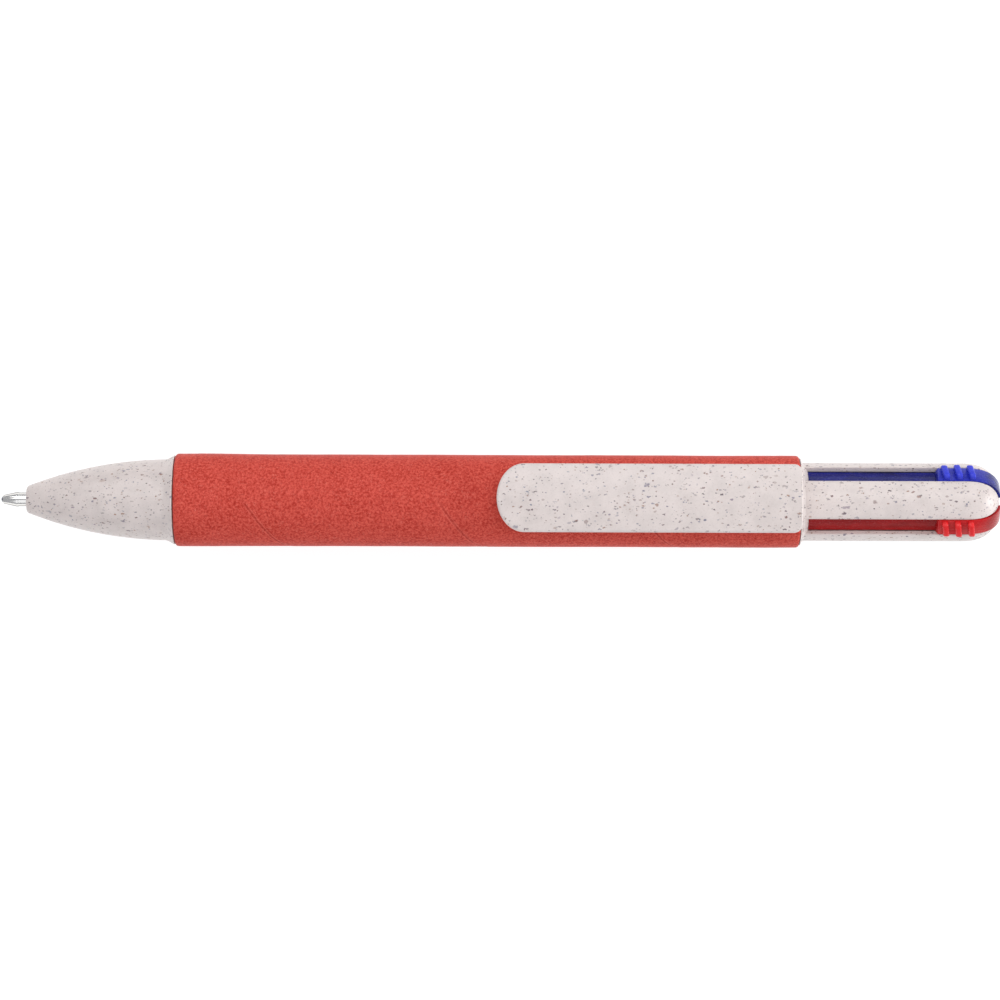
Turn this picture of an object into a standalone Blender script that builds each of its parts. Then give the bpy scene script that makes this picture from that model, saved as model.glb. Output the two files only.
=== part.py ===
"""Four-colour click pen, lying along X with its writing point towards -X and its clip on top.

Every piece is drawn in the pen's own frame: stations run along the axis from the writing point, radii are
measured from the axis. One empty carries that frame to its place, and one empty for each colour turns
its slider and refill round the axis.
"""

import math

import bmesh
import bpy
from mathutils import Matrix, Vector

MM = 0.001

# Stations along the axis, from the writing point
LENGTH = 147.0 * MM
NOSE_FRONT = 3.8 * MM
NOSE_HOLE_BACK = 5.6 * MM
NOSE_THROAT_BACK = 11.0 * MM
NOSE_BORE_FRONT = 18.5 * MM
NOSE_FLARE = 24.1 * MM
NOSE_BACK = 25.62 * MM
NOSE_SPIGOT_BACK = 34.5 * MM
SLEEVE_FRONT = 25.72 * MM
SLEEVE_BACK = 117.3 * MM
INSERT_BACK = 35.2 * MM
SEAT_FRONT = 76.0 * MM
SEAT_BACK = 78.0 * MM
LAP_FRONT = 104.0 * MM
SPIGOT_FRONT = 108.0 * MM
CLIP_FRONT = 72.9 * MM
CLIP_BACK = 117.3 * MM
REAR_FRONT = 117.4 * MM
FLARE_BACK = 118.4 * MM
DOME_FRONT = 141.0 * MM

# Radii from the axis
SLEEVE_RADIUS = 6.79 * MM
SLEEVE_BORE = 5.85 * MM
SLEEVE_EDGE = 0.4 * MM
LINER_RADIUS = 5.75 * MM
LINER_BORE = 4.95 * MM
NOSE_RADIUS = 5.96 * MM
NOSE_TIP_RADIUS = 1.95 * MM
NOSE_RIM_RADIUS = 6.55 * MM
NOSE_FLARE_KNEE = (0.7 * MM, 0.25 * MM)
NOSE_RIM_WIDTH = 0.15 * MM
NOSE_FRONT_EDGE = (0.25 * MM, 0.35 * MM)
NOSE_HOLE = 1.35 * MM
NOSE_HOLE_BACK_RADIUS = 1.7 * MM
NOSE_THROAT = 3.3 * MM
NOSE_BORE = 4.1 * MM
THREAD_RADIUS = 4.9 * MM
REAR_RADIUS = 5.73 * MM
REAR_BORE = 4.9 * MM
REAR_RIM_RADIUS = 6.4 * MM
REAR_RIM_WIDTH = 0.1 * MM
REAR_KNEE = (0.3 * MM, 0.2 * MM)
LAP_RADIUS = 5.35 * MM

# The domed end is blunter than a ball: a superellipse of this power
DOME_LENGTH = 5.75 * MM
DOME_BORE_LENGTH = 4.9 * MM
DOME_POWER = 2.5

# Gaps: between pieces that touch on the real pen, and round those that slide
FIT_GAP = 0.1 * MM
SLIDE_GAP = 0.15 * MM

# How far cutters reach past what they cut, and how far joined blocks run into each other
CUT_RADIUS = 8.0 * MM
CUT_MARGIN = 1.0 * MM
JOIN_DEPTH = 0.2 * MM

# Mechanism
COLOURS = {"blue": 45, "red": -45, "green": -135, "black": 135}
LATCHED = "black"
TRAVEL = 15.0 * MM
REFILL_OFFSET = 2.6 * MM
BEND_FRONT = 40.0 * MM
BEND_BACK = 90.0 * MM

# Slider, at its back position
BOSS_FRONT = 105.0 * MM
BOSS_BACK = 111.0 * MM
BOSS_RADIUS = 1.5 * MM
PEG_RADIUS = 0.75 * MM
PEG_LENGTH = 3.0 * MM
BAR_FRONT = 110.0 * MM
BAR_TOP = 4.6 * MM
BAR_HALF_WIDTH = 1.35 * MM
FLANGE_TOP = 4.0 * MM
FLANGE_BOTTOM = 3.0 * MM
FLANGE_HALF_WIDTH = 1.9 * MM
FLANGE_FRONT = 109.6 * MM
FLANGE_BACK = 141.5 * MM
PLATE_BOTTOM = 3.5 * MM
PLATE_BACK = 145.0 * MM
BUTTON_FRONT = 137.1 * MM
BUTTON_STEP = 0.35 * MM
BUTTON_TOP = 5.5 * MM
BUTTON_END_RADIUS = 2.1 * MM
RIBS = ((138.5 * MM, 6.4 * MM), (140.35 * MM, 6.5 * MM), (142.25 * MM, 6.42 * MM))
RIB_THICKNESS = 0.9 * MM
RIB_BOTTOM = 4.5 * MM
RIB_HALF_WIDTH = 1.25 * MM
RIB_SHOULDER = (0.3 * MM, 0.12 * MM)
RIB_SIDE_TOP = 0.45 * MM
CATCH_FRONT = 128.0 * MM
CATCH_BACK = 130.0 * MM
CATCH_BOTTOM = 2.4 * MM
CATCH_HALF_WIDTH = 0.6 * MM
CORE_FRONT = 115.2 * MM
CORE_BACK = 139.0 * MM
CORE_HUB_RADIUS = 1.8 * MM
CORE_ARM_RADIUS = 4.75 * MM
CORE_ARM_HALF_WIDTH = 0.4 * MM
CORE_STEM_RADIUS = 1.2 * MM
CORE_STEM_GAP = 0.35 * MM
SLOT_HALF_WIDTH = 1.45 * MM
SLOT_FRONT = 118.5 * MM
SLOT_SLANT = 0.6 * MM
SLOT_END_RADIUS = 1.9 * MM

# Refill, from its own writing point
RIM_FRONT = 0.35 * MM
RIM_RADIUS = 0.62 * MM
RIM_BORE = 0.52 * MM
SHOULDER_FRONT = 2.3 * MM
SHOULDER_BACK = 2.5 * MM
SHOULDER_RADIUS = 1.05 * MM
SHANK_FRONT = 2.6 * MM
SHANK_RADIUS = 1.0 * MM
COLLAR_FRONT = 9.0 * MM
COLLAR_BACK = 11.5 * MM
COLLAR_RADIUS = 1.12 * MM
COLLAR_RAMP = 0.5 * MM
PLUG_BACK = 15.0 * MM
PLUG_RADIUS = 0.78 * MM
SOCKET_FRONT = 0.6 * MM
SOCKET_BACK = 0.95 * MM
SOCKET_RADIUS = 0.56 * MM
FEED_FRONT = 1.2 * MM
FEED_RADIUS = 0.3 * MM
BALL_RADIUS = 0.5 * MM
TUBE_FRONT = 11.6 * MM
TUBE_RADIUS = 1.15 * MM
TUBE_BORE = 0.85 * MM
INK_FRONT = 15.2 * MM
INK_RADIUS = 0.78 * MM
INK_LENGTH = {"blue": 58 * MM, "red": 66 * MM, "green": 70 * MM, "black": 42 * MM}

# Return spring
WIRE_RADIUS = 0.17 * MM
COIL_RADIUS = 1.45 * MM
COIL_TURNS = 12
CLOSED_PITCH = 2.3 * WIRE_RADIUS
TURN_POINTS = 9

# Clip
CLIP_HALF_WIDTH = 4.97 * MM
CLIP_TOP = 9.4 * MM
CLIP_THICKNESS = 1.6 * MM
CLIP_CROWN = 0.3 * MM
CLIP_EDGE = 0.25 * MM
CLIP_FLAT_HALF_WIDTH = 2.0 * MM
CLIP_NOSE_LENGTH = 4.0 * MM
CLIP_TAIL_RADIUS = 1.3 * MM
FOOT_FRONT = 112.5 * MM
FOOT_BACK = 116.8 * MM
FOOT_HALF_WIDTH = 2.2 * MM
FOOT_BOTTOM = 5.0 * MM
WINDOW_BOTTOM = 4.0 * MM
ROOT_HALF_WIDTH = 4.2 * MM
PAD_FRONT = 75.5 * MM
PAD_BACK = 78.5 * MM
PAD_HALF_WIDTH = 2.5 * MM
PAD_BOTTOM = 6.0 * MM

SIDES = 40
FINE_SIDES = 12
NOSE_POINTS = 14


def clear_scene():
    for obj in list(bpy.data.objects):
        bpy.data.objects.remove(obj)


def make_material(name, colour, roughness, metallic=0.0):
    material = bpy.data.materials.new(name)
    material.use_nodes = True
    shader = material.node_tree.nodes["Principled BSDF"]
    shader.inputs["Base Color"].default_value = (*colour, 1.0)
    shader.inputs["Roughness"].default_value = roughness
    shader.inputs["Metallic"].default_value = metallic
    return material


def make_materials():
    made = {
        "straw": make_material("straw_plastic", (0.70, 0.63, 0.60), 0.45),
        "paper": make_material("red_paper", (0.58, 0.07, 0.05), 0.85),
        "liner": make_material("liner_plastic", (0.75, 0.74, 0.70), 0.5),
        "nickel": make_material("nickel_silver", (0.72, 0.70, 0.66), 0.25, 1.0),
        "carbide": make_material("carbide", (0.35, 0.35, 0.37), 0.15, 1.0),
        "spring": make_material("spring_steel", (0.60, 0.60, 0.60), 0.3, 1.0),
        "tube": make_material("refill_tube", (0.80, 0.80, 0.78), 0.3),
    }
    shades = {
        "blue": (0.035, 0.045, 0.50),
        "red": (0.60, 0.012, 0.02),
        "green": (0.01, 0.25, 0.06),
        "black": (0.012, 0.012, 0.014),
    }
    for colour, shade in shades.items():
        made[colour] = make_material(colour + "_plastic", shade, 0.3)
        made[colour + "_ink"] = make_material(colour + "_ink", shade, 0.1)
    return made


def make_empty(name, location=(0, 0, 0), turn=0.0, parent=None):
    empty = bpy.data.objects.new(name, None)
    empty.empty_display_size = 5 * MM
    empty.location = location
    empty.rotation_euler = (turn, 0, 0)
    empty.parent = parent
    bpy.context.scene.collection.objects.link(empty)
    return empty


def finish_mesh(bm, name):
    """The bmesh as a mesh, its faces pointing out and its round stretches smooth."""
    bmesh.ops.remove_doubles(bm, verts=bm.verts, dist=1e-7)
    bmesh.ops.recalc_face_normals(bm, faces=bm.faces)
    mesh = bpy.data.meshes.new(name)
    bm.to_mesh(mesh)
    bm.free()
    mesh.shade_smooth()
    mesh.set_sharp_from_angle(angle=math.radians(35))
    return mesh


def add_object(name, mesh, material, parent, location=(0, 0, 0)):
    obj = bpy.data.objects.new(name, mesh)
    if material and not mesh.materials:
        mesh.materials.append(material)
    obj.parent = parent
    obj.location = location
    bpy.context.scene.collection.objects.link(obj)
    return obj


def turned_mesh(name, profile, sides=SIDES, closed=True):
    """A profile of (station, radius) points turned round X. An open one starts and ends on the axis."""
    bm = bmesh.new()
    start = Matrix.Rotation(math.pi / sides, 4, "X")
    ring = [bm.verts.new(start @ Vector((station, 0, radius))) for station, radius in profile]
    pairs = list(zip(ring, ring[1:]))
    if closed:
        pairs.append((ring[-1], ring[0]))
    edges = [bm.edges.new(pair) for pair in pairs]
    bmesh.ops.spin(
        bm, geom=ring + edges, cent=(0, 0, 0), axis=(1, 0, 0), angle=2 * math.pi, steps=sides, use_merge=True
    )
    return finish_mesh(bm, name)


def prism_mesh(name, outline, half_width):
    """A side outline of (station, radius) points, extruded equally to both sides of the middle plane."""
    bm = bmesh.new()
    face = bm.faces.new([bm.verts.new((x, -half_width, z)) for x, z in outline])
    swept = bmesh.ops.extrude_face_region(bm, geom=[face])
    moved = [part for part in swept["geom"] if isinstance(part, bmesh.types.BMVert)]
    bmesh.ops.translate(bm, vec=(0, 2 * half_width, 0), verts=moved)
    return finish_mesh(bm, name)


def slab_mesh(name, outline, low, high):
    """A cross outline of (side, radius) points, extruded along the pen between two stations."""
    bm = bmesh.new()
    face = bm.faces.new([bm.verts.new((low, y, z)) for y, z in outline])
    swept = bmesh.ops.extrude_face_region(bm, geom=[face])
    moved = [part for part in swept["geom"] if isinstance(part, bmesh.types.BMVert)]
    bmesh.ops.translate(bm, vec=(high - low, 0, 0), verts=moved)
    return finish_mesh(bm, name)


def rod_mesh(name, low, high, radius, sides=FINE_SIDES):
    return turned_mesh(name, [(low, 0), (low, radius), (high, radius), (high, 0)], sides, closed=False)


def box_outline(low, high, bottom, top):
    return [(low, bottom), (low, top), (high, top), (high, bottom)]


def dome_angle(share):
    """Where round the dome's curve its radius is this share of the full one."""
    return math.asin(share ** (DOME_POWER / 2))


def dome_points(length, radius, end_radius, count):
    """Points of the dome's curve in the side plane, from an end radius out to the full radius."""
    points = []
    first = dome_angle(end_radius / radius)
    for i in range(count):
        angle = first + (math.pi / 2 - first) * i / (count - 1)
        along = math.cos(angle) ** (2 / DOME_POWER) if i < count - 1 else 0.0
        points.append((DOME_FRONT + length * along, radius * math.sin(angle) ** (2 / DOME_POWER)))
    return points


def add_boolean(obj, mesh, operation, parent, location=(0, 0, 0)):
    """Cuts or joins a helper shape, which stays in the file but isn't a piece."""
    helper = add_object(f"{obj.name}_{operation.lower()}_{len(obj.modifiers)}", mesh, None, parent, location)
    helper.hide_render = True
    helper.display_type = "WIRE"
    modifier = obj.modifiers.new(helper.name, "BOOLEAN")
    modifier.operation = operation
    modifier.solver = "EXACT"
    modifier.object = helper
    return helper


def applied_mesh(obj, name):
    """The object's mesh with its modifiers applied, to share between copies."""
    bpy.context.view_layer.update()
    graph = bpy.context.evaluated_depsgraph_get()
    mesh = bpy.data.meshes.new_from_object(obj.evaluated_get(graph))
    mesh.name = name
    mesh.shade_smooth()
    mesh.set_sharp_from_angle(angle=math.radians(35))
    return mesh


# Housing


def nose_outline(stations):
    """The ogive: an arc, level where the flare starts, that falls to the tip radius at the front."""
    run = NOSE_FLARE - NOSE_FRONT
    drop = NOSE_RADIUS - NOSE_TIP_RADIUS
    arc = (run * run + drop * drop) / (2 * drop)
    return [(x, NOSE_RADIUS - arc + math.sqrt(arc * arc - (NOSE_FLARE - x) ** 2)) for x in stations]


def make_nose_cone(parent, materials):
    steps = 7
    edge_along, edge_out = NOSE_FRONT_EDGE
    knee_along, knee_out = NOSE_FLARE_KNEE
    run = NOSE_FLARE - NOSE_FRONT - edge_along
    outer = nose_outline([NOSE_FRONT + edge_along + run * i / steps for i in range(steps + 1)])
    flare = [
        (NOSE_FLARE + knee_along, NOSE_RADIUS + knee_out),
        (NOSE_BACK - NOSE_RIM_WIDTH, NOSE_RIM_RADIUS),
    ]
    spigot = [(NOSE_BACK, NOSE_RIM_RADIUS), (NOSE_BACK, THREAD_RADIUS), (NOSE_SPIGOT_BACK, THREAD_RADIUS)]
    bore = [
        (NOSE_SPIGOT_BACK, NOSE_BORE),
        (NOSE_BORE_FRONT, NOSE_BORE),
        (NOSE_THROAT_BACK, NOSE_THROAT),
        (NOSE_HOLE_BACK, NOSE_HOLE_BACK_RADIUS),
    ]
    front = [(NOSE_FRONT, NOSE_HOLE), (NOSE_FRONT, NOSE_TIP_RADIUS - edge_out)]
    mesh = turned_mesh("nose_cone", front + outer + flare + spigot + bore)
    return add_object("nose_cone", mesh, materials["straw"], parent)


def make_front_insert(parent, materials):
    low = NOSE_BACK + FIT_GAP
    profile = [
        (low, THREAD_RADIUS + FIT_GAP),
        (low, LINER_RADIUS),
        (INSERT_BACK, LINER_RADIUS),
        (INSERT_BACK, THREAD_RADIUS + FIT_GAP),
    ]
    return add_object("front_insert", turned_mesh("front_insert", profile), materials["liner"], parent)


def make_paper_sleeve(parent, materials):
    profile = [
        (SLEEVE_FRONT, SLEEVE_BORE),
        (SLEEVE_FRONT, SLEEVE_RADIUS - SLEEVE_EDGE),
        (SLEEVE_FRONT + SLEEVE_EDGE, SLEEVE_RADIUS),
        (SLEEVE_BACK - SLEEVE_EDGE, SLEEVE_RADIUS),
        (SLEEVE_BACK, SLEEVE_RADIUS - SLEEVE_EDGE),
        (SLEEVE_BACK, SLEEVE_BORE),
    ]
    sleeve = add_object("paper_sleeve", turned_mesh("paper_sleeve", profile), materials["paper"], parent)
    notch = box_outline(FOOT_FRONT - 2 * FIT_GAP, SLEEVE_BACK + CUT_MARGIN, FOOT_BOTTOM, CUT_RADIUS)
    cutter = prism_mesh("sleeve_notch", notch, FOOT_HALF_WIDTH + 2 * FIT_GAP)
    add_boolean(sleeve, cutter, "DIFFERENCE", parent)
    return sleeve


def make_inner_barrel(parent, materials):
    low = INSERT_BACK + FIT_GAP
    high = SPIGOT_FRONT - FIT_GAP
    profile = [
        (low, LINER_BORE),
        (low, LINER_RADIUS),
        (high, LINER_RADIUS),
        (high, LAP_RADIUS + FIT_GAP / 2),
        (LAP_FRONT - FIT_GAP, LAP_RADIUS + FIT_GAP / 2),
        (LAP_FRONT - FIT_GAP, LINER_BORE),
    ]
    return add_object("inner_barrel", turned_mesh("inner_barrel", profile), materials["liner"], parent)


def make_rear_body(parent, colour_frames, materials):
    outer = dome_points(DOME_LENGTH, REAR_RADIUS, 0, 9)
    knee_along, knee_out = REAR_KNEE
    flare = [(FLARE_BACK, REAR_RADIUS), (REAR_FRONT + knee_along, REAR_RADIUS + knee_out)]
    spigot = [
        (REAR_FRONT + REAR_RIM_WIDTH, REAR_RIM_RADIUS),
        (REAR_FRONT, REAR_RIM_RADIUS),
        (REAR_FRONT, LINER_RADIUS),
        (SPIGOT_FRONT, LINER_RADIUS),
        (SPIGOT_FRONT, LAP_RADIUS),
        (LAP_FRONT, LAP_RADIUS),
        (LAP_FRONT, REAR_BORE),
    ]
    inner = dome_points(DOME_BORE_LENGTH, REAR_BORE, 0, 6)[::-1]
    mesh = turned_mesh("rear_body", outer + flare + spigot + inner, closed=False)
    body = add_object("rear_body", mesh, materials["straw"], parent)
    slot = [
        (SLOT_FRONT, SLOT_END_RADIUS),
        (SLOT_FRONT, BAR_TOP),
        (SLOT_FRONT - SLOT_SLANT, REAR_RADIUS),
        (SLOT_FRONT - SLOT_SLANT, CUT_RADIUS),
        (LENGTH + CUT_MARGIN, CUT_RADIUS),
        (LENGTH + CUT_MARGIN, SLOT_END_RADIUS),
    ]
    for colour_frame in colour_frames.values():
        add_boolean(body, prism_mesh("slot", slot, SLOT_HALF_WIDTH), "DIFFERENCE", colour_frame)
    window = box_outline(FOOT_FRONT - 2 * FIT_GAP, FOOT_BACK + 2 * FIT_GAP, WINDOW_BOTTOM, CUT_RADIUS)
    add_boolean(body, prism_mesh("window", window, FOOT_HALF_WIDTH + 2 * FIT_GAP), "DIFFERENCE", parent)
    return body


def clip_section(half_width, top, bottom):
    """The cross outline of the clip's plate: flat along the middle and falling a little to both edges."""
    left = [
        (-half_width, bottom),
        (-half_width, top - CLIP_CROWN - CLIP_EDGE),
        (-half_width + CLIP_EDGE, top - CLIP_CROWN),
        (-CLIP_FLAT_HALF_WIDTH, top),
    ]
    return left + [(-side, height) for side, height in reversed(left)]


def corner_points(x, y, radius, first, count=4):
    """A quarter turn of a rounded corner, anticlockwise from an angle in degrees."""
    points = []
    for i in range(count):
        angle = math.radians(first + 90 * i / (count - 1))
        points.append((x + radius * math.cos(angle), y + radius * math.sin(angle)))
    return points


def clip_plan_mesh():
    """The clip's outline from above, with a half-ellipse nose, as a tall block that trims the plate."""
    tail = CLIP_TAIL_RADIUS
    nose = []
    for i in range(NOSE_POINTS + 1):
        angle = math.pi * i / NOSE_POINTS
        along = CLIP_FRONT + CLIP_NOSE_LENGTH * (1 - math.sin(angle))
        nose.append((along, CLIP_HALF_WIDTH * math.cos(angle)))
    outline = (
        corner_points(CLIP_BACK - tail, CLIP_HALF_WIDTH - tail, tail, 0)
        + nose
        + corner_points(CLIP_BACK - tail, tail - CLIP_HALF_WIDTH, tail, 270)
    )
    bm = bmesh.new()
    face = bm.faces.new([bm.verts.new((x, y, WINDOW_BOTTOM)) for x, y in outline])
    swept = bmesh.ops.extrude_face_region(bm, geom=[face])
    moved = [part for part in swept["geom"] if isinstance(part, bmesh.types.BMVert)]
    bmesh.ops.translate(bm, vec=(0, 0, CUT_RADIUS), verts=moved)
    return finish_mesh(bm, "clip_plan")


def make_clip(parent, materials):
    bottom = CLIP_TOP - CLIP_THICKNESS
    section = clip_section(CLIP_HALF_WIDTH, CLIP_TOP, bottom)
    plate = slab_mesh("clip", section, CLIP_FRONT - CUT_MARGIN, CLIP_BACK + CUT_MARGIN)
    clip = add_object("clip", plate, materials["straw"], parent)
    pad = box_outline(PAD_FRONT, PAD_BACK, PAD_BOTTOM, bottom + JOIN_DEPTH)
    root = box_outline(FOOT_FRONT, CLIP_BACK + CUT_MARGIN, PAD_BOTTOM, bottom + JOIN_DEPTH)
    add_boolean(clip, prism_mesh("clip_pad", pad, PAD_HALF_WIDTH), "UNION", parent)
    add_boolean(clip, prism_mesh("clip_root", root, ROOT_HALF_WIDTH), "UNION", parent)
    add_boolean(clip, clip_plan_mesh(), "INTERSECT", parent)
    cut_front, cut_back = CLIP_FRONT - CUT_MARGIN, CLIP_BACK + 2 * CUT_MARGIN
    barrel = rod_mesh("clip_barrel", cut_front, cut_back, SLEEVE_RADIUS + FIT_GAP, SIDES)
    add_boolean(clip, barrel, "DIFFERENCE", parent)
    foot = box_outline(FOOT_FRONT + FIT_GAP, FOOT_BACK, FOOT_BOTTOM, bottom + FIT_GAP)
    add_boolean(clip, prism_mesh("clip_foot", foot, FOOT_HALF_WIDTH), "UNION", parent)
    return clip


# Mechanism


def make_spring_seat(parent, colour_frames, materials):
    mesh = rod_mesh("spring_seat", SEAT_FRONT, SEAT_BACK, LINER_BORE - FIT_GAP, SIDES)
    seat = add_object("spring_seat", mesh, materials["liner"], parent)
    hole_front, hole_back = SEAT_FRONT - CUT_MARGIN, SEAT_BACK + CUT_MARGIN
    hole = rod_mesh("seat_hole", hole_front, hole_back, TUBE_RADIUS + SLIDE_GAP)
    for colour_frame in colour_frames.values():
        add_boolean(seat, hole, "DIFFERENCE", colour_frame, (0, 0, REFILL_OFFSET))
    return seat


def make_guide_core(parent, materials):
    """A spine with four thin arms, which run between the sliders and keep each in its own quarter."""
    inner = CORE_HUB_RADIUS * math.sqrt(2) - CORE_ARM_HALF_WIDTH
    arm = [
        (inner, -CORE_ARM_HALF_WIDTH),
        (CORE_ARM_RADIUS, -CORE_ARM_HALF_WIDTH),
        (CORE_ARM_RADIUS, CORE_ARM_HALF_WIDTH),
        (inner, CORE_ARM_HALF_WIDTH),
    ]
    outline = []
    for quarter in range(4):
        cosine, sine = round(math.cos(quarter * math.pi / 2)), round(math.sin(quarter * math.pi / 2))
        outline += [(y * cosine - z * sine, y * sine + z * cosine) for y, z in arm]
    arms = slab_mesh("guide_core", outline, CORE_FRONT, CORE_BACK)
    core = add_object("guide_core", arms, materials["liner"], parent)
    stem_back = DOME_FRONT + DOME_BORE_LENGTH - CORE_STEM_GAP
    stem = rod_mesh("core_stem", CORE_BACK - JOIN_DEPTH, stem_back, CORE_STEM_RADIUS)
    add_boolean(core, stem, "UNION", parent)
    return core


def slider_plate_outline():
    """The side view of the plate that shows in the slot: bar, thumb button and the curve over the dome."""
    last = dome_angle(BUTTON_END_RADIUS / BUTTON_TOP)
    reach = (LENGTH - DOME_FRONT) / math.cos(last) ** (2 / DOME_POWER)
    over_dome = dome_points(reach, BUTTON_TOP, BUTTON_END_RADIUS, 9)[::-1]
    step = [(BUTTON_FRONT, BAR_TOP), (BUTTON_FRONT + BUTTON_STEP, BUTTON_TOP)]
    under = [(PLATE_BACK, BUTTON_END_RADIUS), (FLANGE_BACK, PLATE_BOTTOM)]
    return [(BAR_FRONT, PLATE_BOTTOM), (BAR_FRONT, BAR_TOP)] + step + over_dome + under


def rib_outline(top):
    """A rib across the thumb button, with rounded shoulders, as (side, radius) points."""
    shoulder_in, shoulder_down = RIB_SHOULDER
    left = [
        (-RIB_HALF_WIDTH, RIB_BOTTOM),
        (-RIB_HALF_WIDTH, top - RIB_SIDE_TOP),
        (shoulder_in - RIB_HALF_WIDTH, top - shoulder_down),
    ]
    return left + [(0, top)] + [(-side, height) for side, height in reversed(left)]


def slider_mesh(parent):
    """All four sliders share this mesh, drawn at the back position with the pen's top as the outside."""
    body = prism_mesh("slider", slider_plate_outline(), BAR_HALF_WIDTH)
    plate = add_object("slider_plate", body, None, parent)
    flange = box_outline(FLANGE_FRONT, FLANGE_BACK, FLANGE_BOTTOM, FLANGE_TOP)
    catch = box_outline(CATCH_FRONT, CATCH_BACK, CATCH_BOTTOM, FLANGE_BOTTOM + JOIN_DEPTH)
    add_boolean(plate, prism_mesh("flange", flange, FLANGE_HALF_WIDTH), "UNION", parent)
    add_boolean(plate, prism_mesh("catch", catch, CATCH_HALF_WIDTH), "UNION", parent)
    seat = (0, 0, REFILL_OFFSET)
    add_boolean(plate, rod_mesh("boss", BOSS_FRONT, BOSS_BACK, BOSS_RADIUS), "UNION", parent, seat)
    peg = rod_mesh("peg", BOSS_FRONT - PEG_LENGTH, BOSS_FRONT + JOIN_DEPTH, PEG_RADIUS)
    add_boolean(plate, peg, "UNION", parent, seat)
    for station, top in RIBS:
        rib = slab_mesh("rib", rib_outline(top), station - RIB_THICKNESS / 2, station + RIB_THICKNESS / 2)
        add_boolean(plate, rib, "UNION", parent)
    mesh = applied_mesh(plate, "slider")
    plate.hide_render = True
    plate.display_type = "WIRE"
    return mesh


def make_slider(colour, shared, frame, materials):
    mesh = shared.copy()
    mesh.materials.clear()
    shift = -TRAVEL if colour == LATCHED else 0.0
    return add_object("slider_" + colour, mesh, materials[colour], frame, (shift, 0, 0))


def bend_refill(mesh, shift):
    """A latched refill curves in from its slider to the middle of the nose: this moves its points there."""
    for vertex in mesh.vertices:
        share = (BEND_BACK + shift - vertex.co.x) / (BEND_BACK - BEND_FRONT)
        share = min(max(share, 0.0), 1.0)
        vertex.co.z -= REFILL_OFFSET * share * share * (3 - 2 * share)


def pipe_profile(low, high, outer, inner, rings):
    stations = [low + (high - low) * i / rings for i in range(rings + 1)]
    return [(x, outer) for x in stations] + [(x, inner) for x in reversed(stations)]


def rod_profile(low, high, radius, rings):
    stations = [low + (high - low) * i / rings for i in range(rings + 1)]
    return [(low, 0)] + [(x, radius) for x in stations] + [(high, 0)]


def tip_profile(start):
    """The metal point, from the rim that holds the ball to the plug inside the tube."""
    outer = [
        (RIM_FRONT, RIM_RADIUS),
        (SHOULDER_FRONT, SHOULDER_RADIUS),
        (SHOULDER_BACK, SHOULDER_RADIUS),
        (SHANK_FRONT, SHANK_RADIUS),
        (COLLAR_FRONT, SHANK_RADIUS),
        (COLLAR_FRONT + COLLAR_RAMP, COLLAR_RADIUS),
        (COLLAR_BACK, COLLAR_RADIUS),
        (COLLAR_BACK, PLUG_RADIUS),
        (PLUG_BACK, PLUG_RADIUS),
    ]
    inner = [
        (PLUG_BACK, FEED_RADIUS),
        (FEED_FRONT, FEED_RADIUS),
        (SOCKET_BACK, SOCKET_RADIUS),
        (SOCKET_FRONT, SOCKET_RADIUS),
        (RIM_FRONT, RIM_BORE),
    ]
    return [(start + along, radius) for along, radius in outer + inner]


def make_refill(colour, frame, materials):
    latched = colour == LATCHED
    shift = -TRAVEL if latched else 0.0
    start = shift + TRAVEL
    tube_back = BOSS_FRONT + shift - FIT_GAP
    ink_front = start + INK_FRONT
    rings = 12 if latched else 1
    meshes = {
        "refill_tip": turned_mesh("refill_tip", tip_profile(start), FINE_SIDES),
        "refill_tube": turned_mesh(
            "refill_tube",
            pipe_profile(start + TUBE_FRONT, tube_back, TUBE_RADIUS, TUBE_BORE, rings),
            FINE_SIDES,
        ),
        "refill_ink": turned_mesh(
            "refill_ink",
            rod_profile(ink_front, ink_front + INK_LENGTH[colour], INK_RADIUS, rings),
            8,
            closed=False,
        ),
    }
    ball = bmesh.new()
    bmesh.ops.create_icosphere(
        ball, subdivisions=2, radius=BALL_RADIUS, matrix=Matrix.Translation((start + BALL_RADIUS, 0, 0))
    )
    meshes["refill_ball"] = finish_mesh(ball, "refill_ball")
    slots = {
        "refill_tip": "nickel",
        "refill_tube": "tube",
        "refill_ink": colour + "_ink",
        "refill_ball": "carbide",
    }
    for piece, mesh in meshes.items():
        if latched:
            bend_refill(mesh, shift)
        add_object(f"{piece}_{colour}", mesh, materials[slots[piece]], frame, (0, 0, REFILL_OFFSET))


def make_return_spring(colour, frame, materials):
    """A helix with one closed turn at each end, between the spring seat and the slider's boss."""
    shift = -TRAVEL if colour == LATCHED else 0.0
    low = SEAT_BACK + WIRE_RADIUS + FIT_GAP
    high = BOSS_FRONT + shift - WIRE_RADIUS - FIT_GAP
    open_pitch = (high - low - 2 * CLOSED_PITCH) / (COIL_TURNS - 2)
    curve = bpy.data.curves.new("return_spring_" + colour, "CURVE")
    curve.dimensions = "3D"
    curve.bevel_depth = WIRE_RADIUS
    curve.bevel_resolution = 0
    curve.use_fill_caps = True
    spline = curve.splines.new("POLY")
    count = COIL_TURNS * TURN_POINTS + 1
    spline.points.add(count - 1)
    for i, point in enumerate(spline.points):
        turn = i / TURN_POINTS
        first = min(turn, 1)
        last = max(turn - COIL_TURNS + 1, 0)
        station = low + CLOSED_PITCH * (first + last) + open_pitch * (turn - first - last)
        angle = 2 * math.pi * turn
        point.co = (station, COIL_RADIUS * math.cos(angle), COIL_RADIUS * math.sin(angle), 1)
    curve.materials.append(materials["spring"])
    spring = bpy.data.objects.new("return_spring_" + colour, curve)
    spring.parent = frame
    spring.location = (0, 0, REFILL_OFFSET)
    bpy.context.scene.collection.objects.link(spring)


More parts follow.
